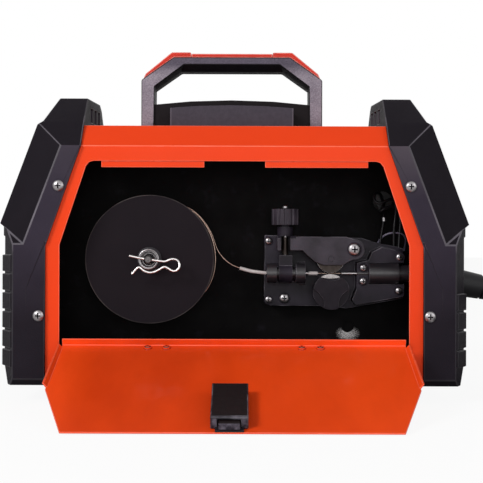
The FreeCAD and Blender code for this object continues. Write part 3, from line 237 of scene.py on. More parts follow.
# --- torch lead ---
# A black rubber hose-cable, 14 mm thick, carries wire, gas and current to the torch. It droops from the
# front of the machine to the floor, lies there in a neat coil of two and a half turns and ends in the gun.
LEAD_DIAMETER = 0.014
LEAD_EXIT = (0.1728, 0.0365, 0.0912)
COIL_CENTRE = Vector((0.324, -0.0515, 0))
COIL_OUTER, COIL_INNER = 0.091, 0.077
COIL_LOW, COIL_HIGH = 0.0072, 0.0212
COIL_FIRST, COIL_LAST, COIL_STEP = 6, 856, 23
DROOP_TO_COIL = [
    (0.2279, 0.0365, 0.081), (0.299, 0.0375, 0.061), (0.3491, 0.036, 0.047), (0.3849, 0.0161, 0.036),
    (0.4078, -0.0159, 0.027),
]
COIL_TO_GUN = [
    (-0.082, -0.04, 0.0072), (-0.0945, -0.0115, 0.0072), (-0.11, 0.0235, 0.0072),
    (-0.1155, 0.066, 0.0072), (-0.103, 0.107, 0.0082), (-0.0745, 0.1375, 0.0112),
    (-0.0375, 0.154, 0.016), (0.006, 0.154, 0.016), (0.132, 0.154, 0.016),
]


def ease(degrees, start, span):
    """A soft step from 0 to 1 over a span of the coil's turning."""
    share = min(max((degrees - start) / span, 0), 1)
    return share * share * (3 - 2 * share)


def round_curve(name, places, radius, order, steps, sides):
    """A round bar along one smooth curve, drawn by its points."""
    curve = bpy.data.curves.new(name, "CURVE")
    curve.dimensions = "3D"
    line = curve.splines.new("NURBS")
    line.points.add(len(places) - 1)
    for point, place in zip(line.points, places):
        point.co = (*place, 1)
    line.order_u = order
    line.use_endpoint_u = True
    curve.resolution_u = steps
    curve.bevel_depth = radius
    curve.bevel_resolution = sides
    curve.use_fill_caps = True
    return linked(name, curve)


def placed(item, body, slot, *nodes):
    """A piece on its body, standing for the CAD pieces that it replaces. Its slot is not used."""
    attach(item, body)
    if nodes:
        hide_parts(*nodes)
    return item


route = [LEAD_EXIT, *DROOP_TO_COIL]
for degrees in range(COIL_FIRST, COIL_LAST, COIL_STEP):
    inwards = ease(degrees, 20, 230) - ease(degrees, 540, 180)
    radius = COIL_OUTER + (COIL_INNER - COIL_OUTER) * inwards
    height = COIL_HIGH + (COIL_LOW - COIL_HIGH) * ease(degrees, 270, 180)
    angle = -math.radians(degrees)
    route.append(COIL_CENTRE + Vector((radius * math.cos(angle), radius * math.sin(angle), height)))
route += [COIL_CENTRE + Vector(point) for point in COIL_TO_GUN]
lead = round_curve("torch_lead_cable", route, LEAD_DIAMETER / 2, 3, 6, 5)
lead_rubber = Finish("lead_rubber", specular=0.22, tint=((0.005, 0.005, 0.006), (0.01, 0.009, 0.011), 30),
                     rough=(35, 4, 0.25, 0.32), grain=(1400, 2, 0.00008))
lead.data.materials.append(lead_rubber.material)
placed(lead, "root", "cable_rubber", "torch_lead", "torch_coil")

# --- painted cover and door ---
# Folded sheet steel under a glossy orange-red powder coat, with the faint orange peel of such a coat.
# Its folds are painted paler as highlights. Its gloss is a little uneven, and the door's colour carries a
# painted reflection: darker blotches, paler towards its front end and along its rear edge.
SHEET_EDGE = 0.0005
REFLECTION_FROM, REFLECTION_SPAN = 0.03, 0.12
EDGE_HIGHLIGHT_FROM, EDGE_HIGHLIGHT_SPAN = 0.098, 0.02
SHARPEST_SMOOTH = math.radians(46)
FLATTEST_FOLD = math.radians(1)
FLAT_ENOUGH = math.radians(0.6)
IN_LINE = -0.7
BEVEL_SHARE = 0.33


def dressed(node, finish, slot="black_plastic", body="root", edge=0.0004, steps=2, sharp=32, edge_finish=None):
    """A copy of a piece with its sharp edges rounded, in its finish, riding on its body.

    The rounded edges may have a finish of their own, a painted highlight.
    """
    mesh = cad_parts[node].data.copy()
    shape = bmesh.new()
    shape.from_mesh(mesh)
    bmesh.ops.remove_doubles(shape, verts=shape.verts, dist=0.00001)
    bmesh.ops.dissolve_limit(shape, angle_limit=FLAT_ENOUGH, verts=shape.verts, edges=shape.edges)
    bmesh.ops.connect_verts_concave(shape, faces=[face for face in shape.faces if len(face.verts) > 4])
    shape.to_mesh(mesh)
    shape.free()
    item = rounded(linked(node + "_piece", mesh), finish, edge, steps, sharp, edge_finish)
    return placed(item, body, slot, node)


def weigh_edges(mesh, width, sharp):
    """Weigh each sharp edge by how much of the rounding's width its neighbours leave room for."""
    shape = bmesh.new()
    shape.from_mesh(mesh)
    weights = shape.edges.layers.float.new("bevel_weight_edge")
    for line in shape.edges:
        if len(line.link_faces) != 2 or line.calc_face_angle(0) < math.radians(sharp):
            continue
        room = line.calc_length()
        for end in line.verts:
            along = (line.other_vert(end).co - end.co).normalized()
            for other in end.link_edges:
                away = other.other_vert(end).co - end.co
                folded = other.calc_face_angle(0) > FLATTEST_FOLD
                if other is not line and folded and away.normalized().dot(along) > IN_LINE:
                    room = min(room, away.length)
        line[weights] = min(1, room * BEVEL_SHARE / width)
    shape.to_mesh(mesh)
    shape.free()


def rounded(item, finish, edge, steps, sharp, edge_finish):
    """Round an object's edges, keep its broad faces flat to the light, and give it its finish."""
    item.data.materials.clear()
    for material in (finish, edge_finish or finish):
        item.data.materials.append(material.material)
    for face in item.data.polygons:
        face.material_index = 0
    if edge:
        weigh_edges(item.data, edge, sharp)
        bevel = item.modifiers.new("eased_edges", "BEVEL")
        bevel.width = edge
        bevel.segments = steps
        bevel.limit_method = "WEIGHT"
        bevel.use_clamp_overlap = False
        bevel.loop_slide = False
        bevel.material = 1 if edge_finish else -1
        item.data = plain_mesh(item)
    item.data.shade_smooth()
    item.data.set_sharp_from_angle(angle=SHARPEST_SMOOTH if edge else math.radians(sharp))
    if edge:
        item.modifiers.new("flat_faces", "WEIGHTED_NORMAL").keep_sharp = True
        item.data = plain_mesh(item)
    if not edge_finish:
        item.data.materials.pop()
    return item


def plain_mesh(item):
    """What an object's modifiers or curve make of it, as a mesh, with the modifiers removed."""
    mesh = bpy.data.meshes.new_from_object(item.evaluated_get(bpy.context.evaluated_depsgraph_get()))
    item.modifiers.clear()
    return mesh


orange_paint = Finish("orange_paint", coat_weight=0.03, coat_roughness=0.14, specular=0.06,
                      tint=((0.7, 0.044, 0.006), (0.79, 0.054, 0.0082), 14, 3), grain=(700, 2, 0.00006))
orange_paint.set("Roughness", orange_paint.noise(22, 5, (1, 1, 0.6)) * 0.2 + 0.28)
# Painted highlight along the folds: a paler, glossier orange on the rounded bends.
fold_highlight_paint = Finish("fold_highlight_paint", coat_weight=0.2, coat_roughness=0.1, specular=0.3,
                    tint=((0.84, 0.075, 0.022), (0.92, 0.16, 0.085), 60), rough=(80, 3, 0.2, 0.2))
dressed("side_cover", orange_paint, "orange_paint", edge=SHEET_EDGE, sharp=12, edge_finish=fold_highlight_paint)
door_paint = Finish("door_paint", coat_weight=0.22, coat_roughness=0.1, specular=0.1,
                    rough=(30, 5, 0.2, 0.26), grain=(700, 2, 0.00005))
# The door's colour is a painted reflection: dark blotches of the compartment, paler towards the front end,
# and a painted highlight along the rear edge.
reflection_blotches = door_paint.noise(9, 4, (1.6, 0.7, 0.7)) * 0.6 + door_paint.noise(45, 5, (1.4, 0.5, 0.5)) * 0.4
reflection_blotches = ((reflection_blotches - 0.38) * 3.6).clamped()
front_reflection = ((door_paint.along("X") + REFLECTION_FROM) / REFLECTION_SPAN).clamped()
rear_edge_highlight = ((0 - door_paint.along("X") - EDGE_HIGHLIGHT_FROM) / EDGE_HIGHLIGHT_SPAN).clamped()
door_reflection = (reflection_blotches * 0.55 + front_reflection * 0.5 + rear_edge_highlight * 0.6).clamped()
door_paint.paint((0.66, 0.046, 0.0045), (0.88, 0.071, 0.008), door_reflection)
dressed("door_panel", door_paint, "orange_paint", "door", edge=SHEET_EDGE, sharp=12, edge_finish=fold_highlight_paint)
for hinge_node, body in (("hinge_leaves", "root"), ("door_hinge_leaves", "door")):
    dressed(hinge_node, orange_paint, "black_paint", body, edge=0.0002)

# --- armour: moulded end frames ---
# Thick black nylon mouldings round both ends, with a fine spark-eroded grain, paler where the light skims.
# Painted sheen makes each flat side paler than the slopes, most of all on its upper strip and near its top,
# and its crease lines carry a painted grey highlight.
SIDE_FACE, SHEEN_STRIP_FOOT, SHEEN_STRIP_FADE = 0.945, 0.06, 0.07
TOP_HIGHLIGHT_FOOT, TOP_HIGHLIGHT_FADE = 0.155, 0.05
CREASE_FOOT, CREASE_FADE, NEAR_SIDE_Y = 0.112, 0.006, 0.008
armour_plastic = Finish("armour_plastic", specular=0.05, rough=(300, 3, 0.2, 0.4), grain=(1900, 3, 0.00014))
# Painted sheen: flat side faces are paler than the slopes, their upper strip paler still, with a painted
# highlight near the top, stronger towards +X.
flat_side = (0 - armour_plastic.facing("Y")).over(SIDE_FACE)
upper_strip_sheen = flat_side * ((armour_plastic.along("Z") - SHEEN_STRIP_FOOT) / SHEEN_STRIP_FADE).clamped()
mottle = armour_plastic.noise(45, 5)
slope_black = armour_plastic.mix((0.0054, 0.004, 0.0062), (0.0094, 0.007, 0.0106), mottle)
side_sheen_black = armour_plastic.mix((0.0088, 0.0066, 0.01), (0.016, 0.0122, 0.0178), mottle)
strip_sheen_black = armour_plastic.mix((0.02, 0.0158, 0.025), (0.037, 0.03, 0.045), mottle)
armour_facing_sheen = armour_plastic.mix(slope_black, side_sheen_black, flat_side)
top_highlight = flat_side * ((armour_plastic.along("Z") - TOP_HIGHLIGHT_FOOT) / TOP_HIGHLIGHT_FADE).clamped()
top_highlight = top_highlight * (armour_plastic.along("X") * 1.9 + 0.45).clamped(0.15, 0.7)
strip_sheen_black = armour_plastic.mix(strip_sheen_black, (0.098, 0.082, 0.096), top_highlight)
armour_plastic.paint(armour_facing_sheen, strip_sheen_black, upper_strip_sheen)
# Painted highlight along the rounded creases: paler on the upper creases of the near side, in blotches.
armour_crease_highlight = Finish("armour_crease_highlight", specular=0.3, rough=(400, 3, 0.2, 0.34))
upper_crease_highlight = ((armour_crease_highlight.along("Z") - CREASE_FOOT) / CREASE_FADE).clamped(0.1, 1)
on_side = (NEAR_SIDE_Y - armour_crease_highlight.along("Y")).over(0).clamped(0.3, 1)
crease_highlight_share = (armour_crease_highlight.blotches(28, 5, 0.42, 3.5) * 0.65 + 0.35) * upper_crease_highlight * on_side
armour_crease_highlight.paint((0.008, 0.0058, 0.0094), (0.105, 0.092, 0.112), crease_highlight_share)
for frame_node in ("front_frame", "rear_frame"):
    dressed(frame_node, armour_plastic, "armour_plastic", edge=0.0008, sharp=12, edge_finish=armour_crease_highlight)

# --- frame screws ---
# Zinc plated pan head screws with a cross recess hold the end frames to the cover, four at each end.
bright_steel = Finish("bright_steel", metallic=1, tint=((0.17, 0.16, 0.165), (0.42, 0.4, 0.41), 450, 5),
                      rough=(400, 3, 0.25, 0.2), grain=(1200, 3, 0.00003))


class Shaper(Tree):
    """A Geometry Nodes tree, with named sizes, that builds one kind of small piece."""

    def __init__(self, name, **sizes):
        self.group = bpy.data.node_groups.new(name, "GeometryNodeTree")
        super().__init__(self.group)
        sockets = self.group.interface
        for way in ("INPUT", "OUTPUT"):
            sockets.new_socket("Geometry", in_out=way, socket_type="NodeSocketGeometry")
        for size in sizes:
            sockets.new_socket(size, in_out="INPUT", socket_type="NodeSocketFloat")
        entry = self.group.nodes.new("NodeGroupInput")
        self.points = Term(self, entry.outputs[0])
        self.sizes = [Term(self, entry.outputs[size]) for size in sizes]
        self.usual = sizes

    def at_points(self, shape):
        """Stand a shape, drawn up +Z, on each point, along the point's own direction."""
        way = self.add("GeometryNodeInputNamedAttribute", {"data_type": "FLOAT_VECTOR"}, {0: "facing"})
        turn = self.add("FunctionNodeAlignRotationToVector", {"axis": "Z"}, {2: way})
        return self.add("GeometryNodeInstanceOnPoints", values={0: self.points, 2: shape, 5: turn})

    def moved(self, shape, x=0, y=0, z=0):
        return self.add("GeometryNodeTransform", values={0: shape, 1: self.vector(x, y, z)})

    def block(self, x, y, z):
        return self.add("GeometryNodeMeshCube", values={0: self.vector(x, y, z)})

    def rod(self, sides, radius, length):
        """A cylinder along Z, half above and half below the origin."""
        sizes = {"Vertices": sides, "Radius": radius, "Depth": length}
        return self.add("GeometryNodeMeshCylinder", values=sizes)

    def dome(self, finish, sides, rings, radius, rise, foot, *cuts):
        """A ball pressed down to a rise, less all of it below its foot and any other cuts."""
        ball = self.add("GeometryNodeMeshUVSphere", values={0: sides, 1: rings, 2: 1.0})
        flat = self.add("GeometryNodeTransform", values={0: ball, 3: self.vector(radius, radius, rise)})
        base = self.moved(self.block(radius * 3, radius * 3, rise * 2), z=foot - rise)
        values = {0: self.coated(flat, finish), 1: [self.coated(base, finish), *cuts]}
        return self.add("GeometryNodeMeshBoolean", {"operation": "DIFFERENCE"}, values)

    def coil(self, steps, turns, foot, top, height, sides, wire):
        """A round wire wound up +Z, from one radius to another."""
        helix = self.add("GeometryNodeCurveSpiral", values={
            "Resolution": steps, "Rotations": turns, "Start Radius": foot, "End Radius": top,
            "Height": height,
        })
        section = self.add("GeometryNodeCurvePrimitiveCircle", values={"Resolution": sides, "Radius": wire})
        return self.add("GeometryNodeCurveToMesh", values={0: helix, 1: section, "Fill Caps": True})

    def joined(self, *shapes):
        return self.add("GeometryNodeJoinGeometry", values={0: list(shapes)})

    def coated(self, shape, finish):
        return self.add("GeometryNodeSetMaterial", values={0: shape, 2: finish.material})

    def close(self, shape):
        """End the tree: the shape on each point, as real faces."""
        done = self.add("GeometryNodeRealizeInstances", values={0: self.at_points(shape)})
        self.nodes.links.new(done.socket, self.group.nodes.new("NodeGroupOutput").inputs[0])
        return self

    def make(self, name, places, **sizes):
        """The plain mesh that the tree makes at (place, direction) pairs, in metres."""
        seeds = bpy.data.meshes.new(name)
        seeds.from_pydata([place for place, facing in places], [], [])
        facings = seeds.attributes.new("facing", "FLOAT_VECTOR", "POINT")
        for value, (place, facing) in zip(facings.data, places):
            value.vector = facing
        item = linked(name, seeds)
        shaper = item.modifiers.new("shape", "NODES")
        shaper.node_group = self.group
        for socket in self.group.interface.items_tree:
            if socket.in_out == "INPUT" and socket.name in self.usual:
                shaper[socket.identifier] = float(sizes.get(socket.name, self.usual[socket.name]))
        item.data = plain_mesh(item)
        item.data.shade_smooth()
        item.data.set_sharp_from_angle(angle=math.radians(40))
        return item


SLIVER = 0.0001


def screw_tree():
    """A pan head with a cross recess painted dark as shade, a dark ring under it as painted shadow, and a
    shank, drawn up +Z from its face.
    """
    tree = Shaper("cross_screw", head=0.0044, rise=0.0022, shank=0.0019, length=0.006)
    head, rise, shank, length = tree.sizes
    # A thin dark ring round the head, standing in for its shadow.
    shadow_ring = tree.coated(tree.moved(tree.rod(28, head + 0.0006, 0.0004), z=SLIVER), armour_plastic)
    # The recess walls take the dark plastic, as painted shade.
    slots = [
        tree.coated(tree.moved(tree.block(*across, rise), z=rise * 0.72), armour_plastic)
        for across in ((head * 0.95, head * 0.24), (head * 0.24, head * 0.95))
    ]
    cap = tree.dome(bright_steel, 28, 16, head, rise, 0, *slots)
    shank = tree.coated(tree.moved(tree.rod(16, shank, length), z=SLIVER - length * 0.5), bright_steel)
    return tree.close(tree.joined(cap, shank, shadow_ring))


cross_screw = screw_tree()
OUT = (0, -1, 0)
BACK = (0, 1, 0)
UP = (0, 0, 1)
FORWARD = (1, 0, 0)
SIDE_Y, FAR_Y = -0.0155, 0.1495
frame_places = []
for x, z in ((0.1328, 0.164), (0.1475, 0.066)):
    for side in (-1, 1):
        frame_places += [((side * x, SIDE_Y, z), OUT), ((side * x, FAR_Y, z), BACK)]
placed(cross_screw.make("frame_screws_piece", frame_places), "root", "zinc_steel", "frame_screws")
dressed("body_screws", bright_steel, "zinc_steel", edge=0.0002)

# --- hinge rivets ---
# Low domed steel rivets hold each hinge leaf, two to a leaf. The door's stand on its inner face.
DOOR_OPEN = math.radians(107.8)
RIVET_Y, RIVET_Z = -0.0226, 0.0426
HINGE_RIVETS = [centre + aside for centre in (-0.0575, 0.0575) for aside in (-0.007, 0.007)]
DOOR_INSIDE = (0, -0.3057, 0.9521)
rivet_steel = Finish("rivet_steel", specular=0.9, tint=((0.006, 0.003, 0.002), (0.06, 0.03, 0.022), 520),
                     rough=(500, 3, 0.2, 0.16))
dome_rivet = Shaper("dome_rivet", head=0.0031, rise=0.0021)
dome_rivet.close(dome_rivet.dome(rivet_steel, 20, 12, *dome_rivet.sizes, SLIVER))
door_rivets = [((x, RIVET_Y, RIVET_Z), DOOR_INSIDE) for x in HINGE_RIVETS]
placed(dome_rivet.make("door_rivets", door_rivets), "door", "black_paint")

# --- handle ---
# A moulded black arch with a coarse grain, and its inner edge slopes back under the hand. Its broad faces
# carry a painted grey sheen, palest on the posts and dimmer at their feet, while its rounded edges and inner
# faces are painted near black as shade. A low black bridge joins the posts' feet.
HANDLE_X = -0.003
HANDLE_FOOT = 0.2116
HANDLE_NEAR, HANDLE_FAR = 0.0535, 0.0805
GRIP_SLOPE = 0.007
SHEEN_TOP, SHEEN_FOOT = 0.2665, 0.208
BRIDGE_DEPTH = (0.0555, 0.0785)
ARCH_OUTER = [(0.0738, HANDLE_FOOT), (0.0738, 0.254), (0.0475, 0.2725)]
ARCH_INNER = [(0.0636, HANDLE_FOOT), (0.0636, 0.246), (0.0416, 0.2615)]
ARCH_LIP = [(0.0634, HANDLE_FOOT), (0.0629, 0.2487), (0.0388, 0.2668)]
ARCH_LINES = [
    (ARCH_OUTER, HANDLE_NEAR), (ARCH_OUTER, HANDLE_FAR), (ARCH_LIP, HANDLE_FAR),
    (ARCH_INNER, HANDLE_FAR - GRIP_SLOPE), (ARCH_INNER, HANDLE_NEAR + GRIP_SLOPE), (ARCH_LIP, HANDLE_NEAR),
]
BRIDGE_TOP = [(0.064, HANDLE_FOOT), (0.064, 0.234), (0.034, 0.2368), (0.0005, 0.2378)]


def both_sides(half):
    """An arch's whole line from its right half: up the left side and down the right."""
    return [(HANDLE_X - x, z) for x, z in half] + [(HANDLE_X + x, z) for x, z in reversed(half)]


def prism(outline, near, far):
    """The two end rings of a bar between two depths, from an outline of (x, z) points."""
    return [[(x, y, z) for x, z in outline] for y in (near, far)]


def as_mesh(name, shape):
    mesh = bpy.data.meshes.new(name)
    bmesh.ops.recalc_face_normals(shape, faces=shape.faces)
    shape.to_mesh(mesh)
    shape.free()
    return mesh


def eased(name, bars, edge, steps, finish, sharp=25, edge_finish=None):
    """An object of closed bars, its edges rounded. Each bar passes through rings of points."""
    shape = bmesh.new()
    for rings in bars:
        rings = [[shape.verts.new(point) for point in ring] for ring in rings]
        shape.faces.new(rings[0])
        shape.faces.new(rings[-1])
        for low, high in zip(rings, rings[1:]):
            for place in range(len(low)):
                shape.faces.new((low[place], low[place - 1], high[place - 1], high[place]))
    return rounded(linked(name, as_mesh(name, shape)), finish, edge, steps, sharp, edge_finish)


handle_plastic = Finish("handle_plastic", specular=0.2, rough=(500, 3, 0.2, 0.45), grain=(1300, 3, 0.00025))
rubbing = handle_plastic.noise(900, 4) * 0.6 + handle_plastic.noise(70, 4) * 0.4
rubbing = ((rubbing - 0.34) * 3).clamped()
up = handle_plastic.along("Z")
# Painted sheen: the posts' broad faces are paler grey, dimmer towards their feet; rounded edges and inner
# faces are painted near black as shade.
post_sheen = ((SHEEN_TOP - up) / 0.009).clamped() * ((up - SHEEN_FOOT) / 0.012).clamped(0.25, 1)
bar_grey = handle_plastic.mix((0.05, 0.041, 0.06), (0.1, 0.084, 0.116), rubbing)
post_sheen_grey = handle_plastic.mix((0.15, 0.126, 0.158), (0.32, 0.28, 0.325), rubbing)
broad_face_sheen = ((handle_plastic.facing("Y").size() - 0.9) * 12).clamped()
handle_plastic.paint((0.0035, 0.0026, 0.004), handle_plastic.mix(bar_grey, post_sheen_grey, post_sheen), broad_face_sheen)
arch = bmesh.new()
rows = [[arch.verts.new((x, y, z)) for x, z in both_sides(half)] for half, y in ARCH_LINES]
for first, second in zip(rows, rows[1:] + rows[:1]):
    for step in range(len(first) - 1):
        arch.faces.new((first[step], first[step + 1], second[step + 1], second[step]))
for end in (0, -1):
    arch.faces.new([row[end] for row in rows])
handle = linked("handle_body_piece", as_mesh("handle_body_piece", arch))
handle = rounded(handle, handle_plastic, edge=0.001, steps=3, sharp=25, edge_finish=None)
placed(handle, "root", "armour_plastic", "handle_body")
bridge_black = Finish("bridge_black", specular=0.08, rough=(500, 3, 0.2, 0.45),
                      tint=((0.005, 0.0034, 0.0042), (0.01, 0.0072, 0.0085), 200))
bridge = prism(both_sides(BRIDGE_TOP), *BRIDGE_DEPTH)
placed(eased("handle_bridge", [bridge], 0.0006, 2, bridge_black, sharp=30), "root", "armour_plastic")

# --- plinth ---
# A low arched moulding under the handle's bridge, dark grey, with a fine line near each of its ends.
LINE_ASIDE, LINE_HALF = 0.0482, 0.0006
plinth_plastic = Finish("plinth_plastic", specular=0.2, rough=(500, 3, 0.2, 0.4), grain=(1500, 3, 0.00015))
plinth_grey = plinth_plastic.mix((0.022, 0.017, 0.026), (0.046, 0.037, 0.052), plinth_plastic.noise(350, 5))
end_line = ((plinth_plastic.along("X") + 0.0027).size() - LINE_ASIDE).size()
plinth_plastic.paint(plinth_grey, (0.13, 0.115, 0.14), (1 - end_line / LINE_HALF).clamped() * 0.7)
dressed("handle_plinth", plinth_plastic, "grey_plastic", edge=0.0006)

# --- handle strip ---
# Three glossy red mouldings, end to end along the crown: two raised end caps and a lower middle bar.
# The joints between them show as fine dark lines.
STRIP_DEPTH = (0.056, 0.078)
STRIP_JOINT, STRIP_GAP = 0.0333, 0.0001
STRIP_FOOT, STRIP_MIDDLE_TOP, STRIP_CAP_TOP = 0.27255, 0.2759, 0.2766
STRIP_END = [(0.0475, STRIP_FOOT), (0.0725, 0.255), (0.0706, 0.2594), (0.0492, 0.277), (0.0345, 0.277)]
red_plastic = Finish("red_plastic", coat_weight=0.03, coat_roughness=0.1, specular=0.06,
                     tint=((0.46, 0.02, 0.012), (0.62, 0.04, 0.022), 40, 3), rough=(120, 3, 0.2, 0.26),
                     grain=(900, 2, 0.00008))
# Painted highlight along the strip's rounded edges, pale pink.
strip_edge_highlight = Finish("strip_edge_highlight", coat_weight=0.1, coat_roughness=0.1, specular=0.3,
                     tint=((0.58, 0.065, 0.045), (0.86, 0.3, 0.26), 110, 3), rough=(120, 3, 0.2, 0.22))
cap_start, middle_half = STRIP_JOINT + STRIP_GAP, STRIP_JOINT - STRIP_GAP
cap = [(cap_start, STRIP_FOOT), *STRIP_END, (cap_start, STRIP_CAP_TOP)]
strip = [prism([(HANDLE_X + side * x, z) for x, z in cap], *STRIP_DEPTH) for side in (-1, 1)]
strip.append(prism(both_sides([(middle_half, STRIP_FOOT), (middle_half, STRIP_MIDDLE_TOP)]), *STRIP_DEPTH))
strip_piece = eased("handle_strip_piece", strip, 0.0008, 2, red_plastic, edge_finish=strip_edge_highlight)
placed(strip_piece, "root", "red_plastic", "handle_strip")

# --- wire compartment ---
# A black powder-coated wall and tray. Pale dust has settled round the small hole under the feeder, behind
# which a black plate stands in for the shade inside, and faint scuffs show on the wall where spools have
# been put in.
HOLE_X, HOLE_Z, HOLE_RADIUS = 0.0927, 0.0535, 0.0054
DUST_X, DUST_Z, DUST_HALF_WIDTH, DUST_HALF_HEIGHT = 0.093, 0.0472, 0.0105, 0.0068
SHADE_PLATE_OUTLINE = [(0.082, 0.043), (0.107, 0.043), (0.107, 0.064), (0.082, 0.064)]
SHADE_PLATE_DEPTH = (0.0619, 0.0627)
black_paint = Finish("black_paint", specular=0.06, rough=(60, 4, 0.25, 0.5), grain=(900, 2, 0.00008))
from_dust_x = (black_paint.along("X") - DUST_X) / DUST_HALF_WIDTH
from_dust_z = (black_paint.along("Z") - DUST_Z) / DUST_HALF_HEIGHT
dusty = (1 - from_dust_x * from_dust_x - from_dust_z * from_dust_z).clamped()
from_hole_x, from_hole_z = black_paint.along("X") - HOLE_X, black_paint.along("Z") - HOLE_Z
dusty = dusty * (from_hole_x * from_hole_x + from_hole_z * from_hole_z).over(HOLE_RADIUS ** 2)
specks = (black_paint.noise(1700, 3) - 0.52 + dusty * 0.12).clamped() * 11
scuffs = black_paint.blotches(90, 6, 0.6, 3)
coat_black = black_paint.mix((0.0016, 0.0012, 0.0014), (0.012, 0.0105, 0.015), scuffs)
black_paint.paint(coat_black, (0.62, 0.6, 0.6), (dusty * specks).clamped())
dressed("partition", black_paint, "black_paint", edge=0.0003, sharp=20)
# A black plate behind the hole, standing in for the shade inside.
shade_plate = prism(SHADE_PLATE_OUTLINE, *SHADE_PLATE_DEPTH)
placed(eased("hole_shade_plate", [shade_plate], 0.0002, 1, black_paint), "root", "black_paint")
dressed("base_tray", black_paint, "black_paint", edge=0.0003)

# --- latch ---
# A black moulded box on the door's inner face with a sprung bolt. Its front face is painted paler than its
# top, as sheen, and its edges carry a painted highlight in blotches. Beyond the bolt, a low black strip on
# the door's edge stands in for the shade under it.
HINGE_Y, HINGE_Z, DOOR_SKIN = -0.0149, 0.0415, 0.0022
SHADE_STRIP_OUTLINE = [(0.1355, 0.0013), (0.1404, 0.0013), (0.1404, 0.0024), (0.1355, 0.0028)]
SHADE_STRIP_ENDS = (-0.0112, 0.0072)
black_plastic = Finish("black_plastic", specular=0.22, rough=(260, 3, 0.22, 0.36), grain=(1700, 3, 0.00009),
                       tint=((0.0075, 0.0062, 0.0085), (0.0145, 0.012, 0.016), 70))
latch_plastic = Finish("latch_plastic", specular=0.12, rough=(260, 3, 0.22, 0.38), grain=(1300, 3, 0.0002))
# Painted sheen: the face turned out along -Y is paler grey than the top.
latch_front_sheen = ((0 - latch_plastic.facing("Y")) * 2.2 - 1.1).clamped()
latch_wear = latch_plastic.blotches(330, 6, 0.36, 3)
latch_sheen_grey = latch_plastic.mix((0.022, 0.017, 0.025), (0.11, 0.094, 0.12), latch_wear)
latch_plastic.paint((0.006, 0.003, 0.0034), latch_sheen_grey, latch_front_sheen)
# Painted highlight along rounded edges, in blotches; the feeder's mouldings use it too.
edge_highlight_finish = Finish("edge_highlight_finish", specular=0.35, rough=(400, 3, 0.2, 0.3))
edge_highlight_blotches = edge_highlight_finish.blotches(75, 5, 0.42, 3.2)
edge_highlight_finish.paint((0.009, 0.007, 0.0105), (0.15, 0.135, 0.16), edge_highlight_blotches)
dressed("latch_housing", latch_plastic, body="door", edge=0.0009, edge_finish=edge_highlight_finish)
dressed("latch_bolt", latch_plastic, body="latch", edge=0.0006)


def on_door(up, depth):
    """Y and Z, with the door open, of a place that far up the closed door and behind its face."""
    below = depth + DOOR_SKIN
    return (HINGE_Y + below * math.cos(DOOR_OPEN) - up * math.sin(DOOR_OPEN),
            HINGE_Z + below * math.sin(DOOR_OPEN) + up * math.cos(DOOR_OPEN))


# A low black strip that stands in for the shade under the bolt's front.
shade_strip = [[(x, *on_door(*spot)) for spot in SHADE_STRIP_OUTLINE] for x in SHADE_STRIP_ENDS]
placed(eased("latch_shade_strip", [shade_strip], 0.0003, 2, black_plastic), "door", "black_plastic")

# --- wire spool ---
# A moulded black spool, 100 mm across, with a painted highlight in blotches along a thin ring near its rim.
# Copper-coated wire is wound on it in layers, and one loose turn has sprung out past the rim.
SPOOL_X, SPOOL_Z = -0.066, 0.1084
SPOOL_NEAR, SPOOL_FAR = 0.0095, 0.0545
WINDING_RADIUS, FLANGE = 0.046, 0.002
RIM_RADIUS, RIM_HALF = 0.0496, 0.0005
WOUND_WIRE, SEEN_WIRE = 0.00045, 0.0003
spool_plastic = Finish("spool_plastic", specular=0.04, rough=(200, 2, 0.15, 0.5), grain=(1500, 2, 0.00005))
from_axle_x = spool_plastic.along("X") - SPOOL_X
from_axle_z = spool_plastic.along("Z") - SPOOL_Z
from_axle = (from_axle_x * from_axle_x + from_axle_z * from_axle_z) ** 0.5
# A painted highlight along a thin ring near the rim, in blotches.
rim_highlight = (1 - (from_axle - RIM_RADIUS).size() / RIM_HALF).clamped()
rim_highlight = rim_highlight * (spool_plastic.noise(70, 3) * 1.6 - 0.35).clamped()
cloudy = spool_plastic.noise(30, 3)
spool_grey = spool_plastic.mix((0.0098, 0.0074, 0.0098), (0.0125, 0.0096, 0.0122), cloudy)
spool_plastic.paint(spool_grey, (0.11, 0.095, 0.09), rim_highlight)
dressed("wire_spool", spool_plastic, body="spool", edge=0.0006)
copper_wire = Finish("copper_wire", metallic=1, tint=((0.26, 0.16, 0.115), (0.62, 0.47, 0.4), 160),
                     rough=(300, 2, 0.2, 0.24))


def winding_tree():
    """The outer layer of turns on a closed core, drawn up +Z from its point."""
    tree = Shaper("wire_layers", width=SPOOL_FAR - SPOOL_NEAR - 2 * FLANGE, radius=WINDING_RADIUS,
                  wire=WOUND_WIRE, turns=45)
    width, radius, wire, turns = tree.sizes
    layer = tree.moved(tree.coil(40, turns, radius - wire, radius - wire, width - wire * 2, 6, wire), z=wire)
    core = tree.moved(tree.rod(64, radius - wire * 1.5, width), z=width * 0.5)
    return tree.close(tree.coated(tree.joined(layer, core), copper_wire))


winding = winding_tree().make("wire_winding_piece", [((SPOOL_X, SPOOL_NEAR + FLANGE, SPOOL_Z), BACK)])
placed(winding, "spool", "copper_wire", "wire_winding")


def bent_wire(name, places, radius, finish, sides=3):
    """A round wire along one smooth curve, as a closed mesh."""
    draft = round_curve(name + "_draft", places, radius, 4, 8, sides)
    mesh = plain_mesh(draft)
    bpy.data.objects.remove(draft)
    mesh.name = name
    mesh.materials.clear()
    mesh.materials.append(finish.material)
    mesh.shade_smooth()
    return linked(name, mesh)


def about_spool(radius, degrees, depth):
    """A point at a radius and an angle about the spool's axle, from its +X side upwards."""
    turn = math.radians(degrees)
    return (SPOOL_X + radius * math.cos(turn), depth, SPOOL_Z + radius * math.sin(turn))


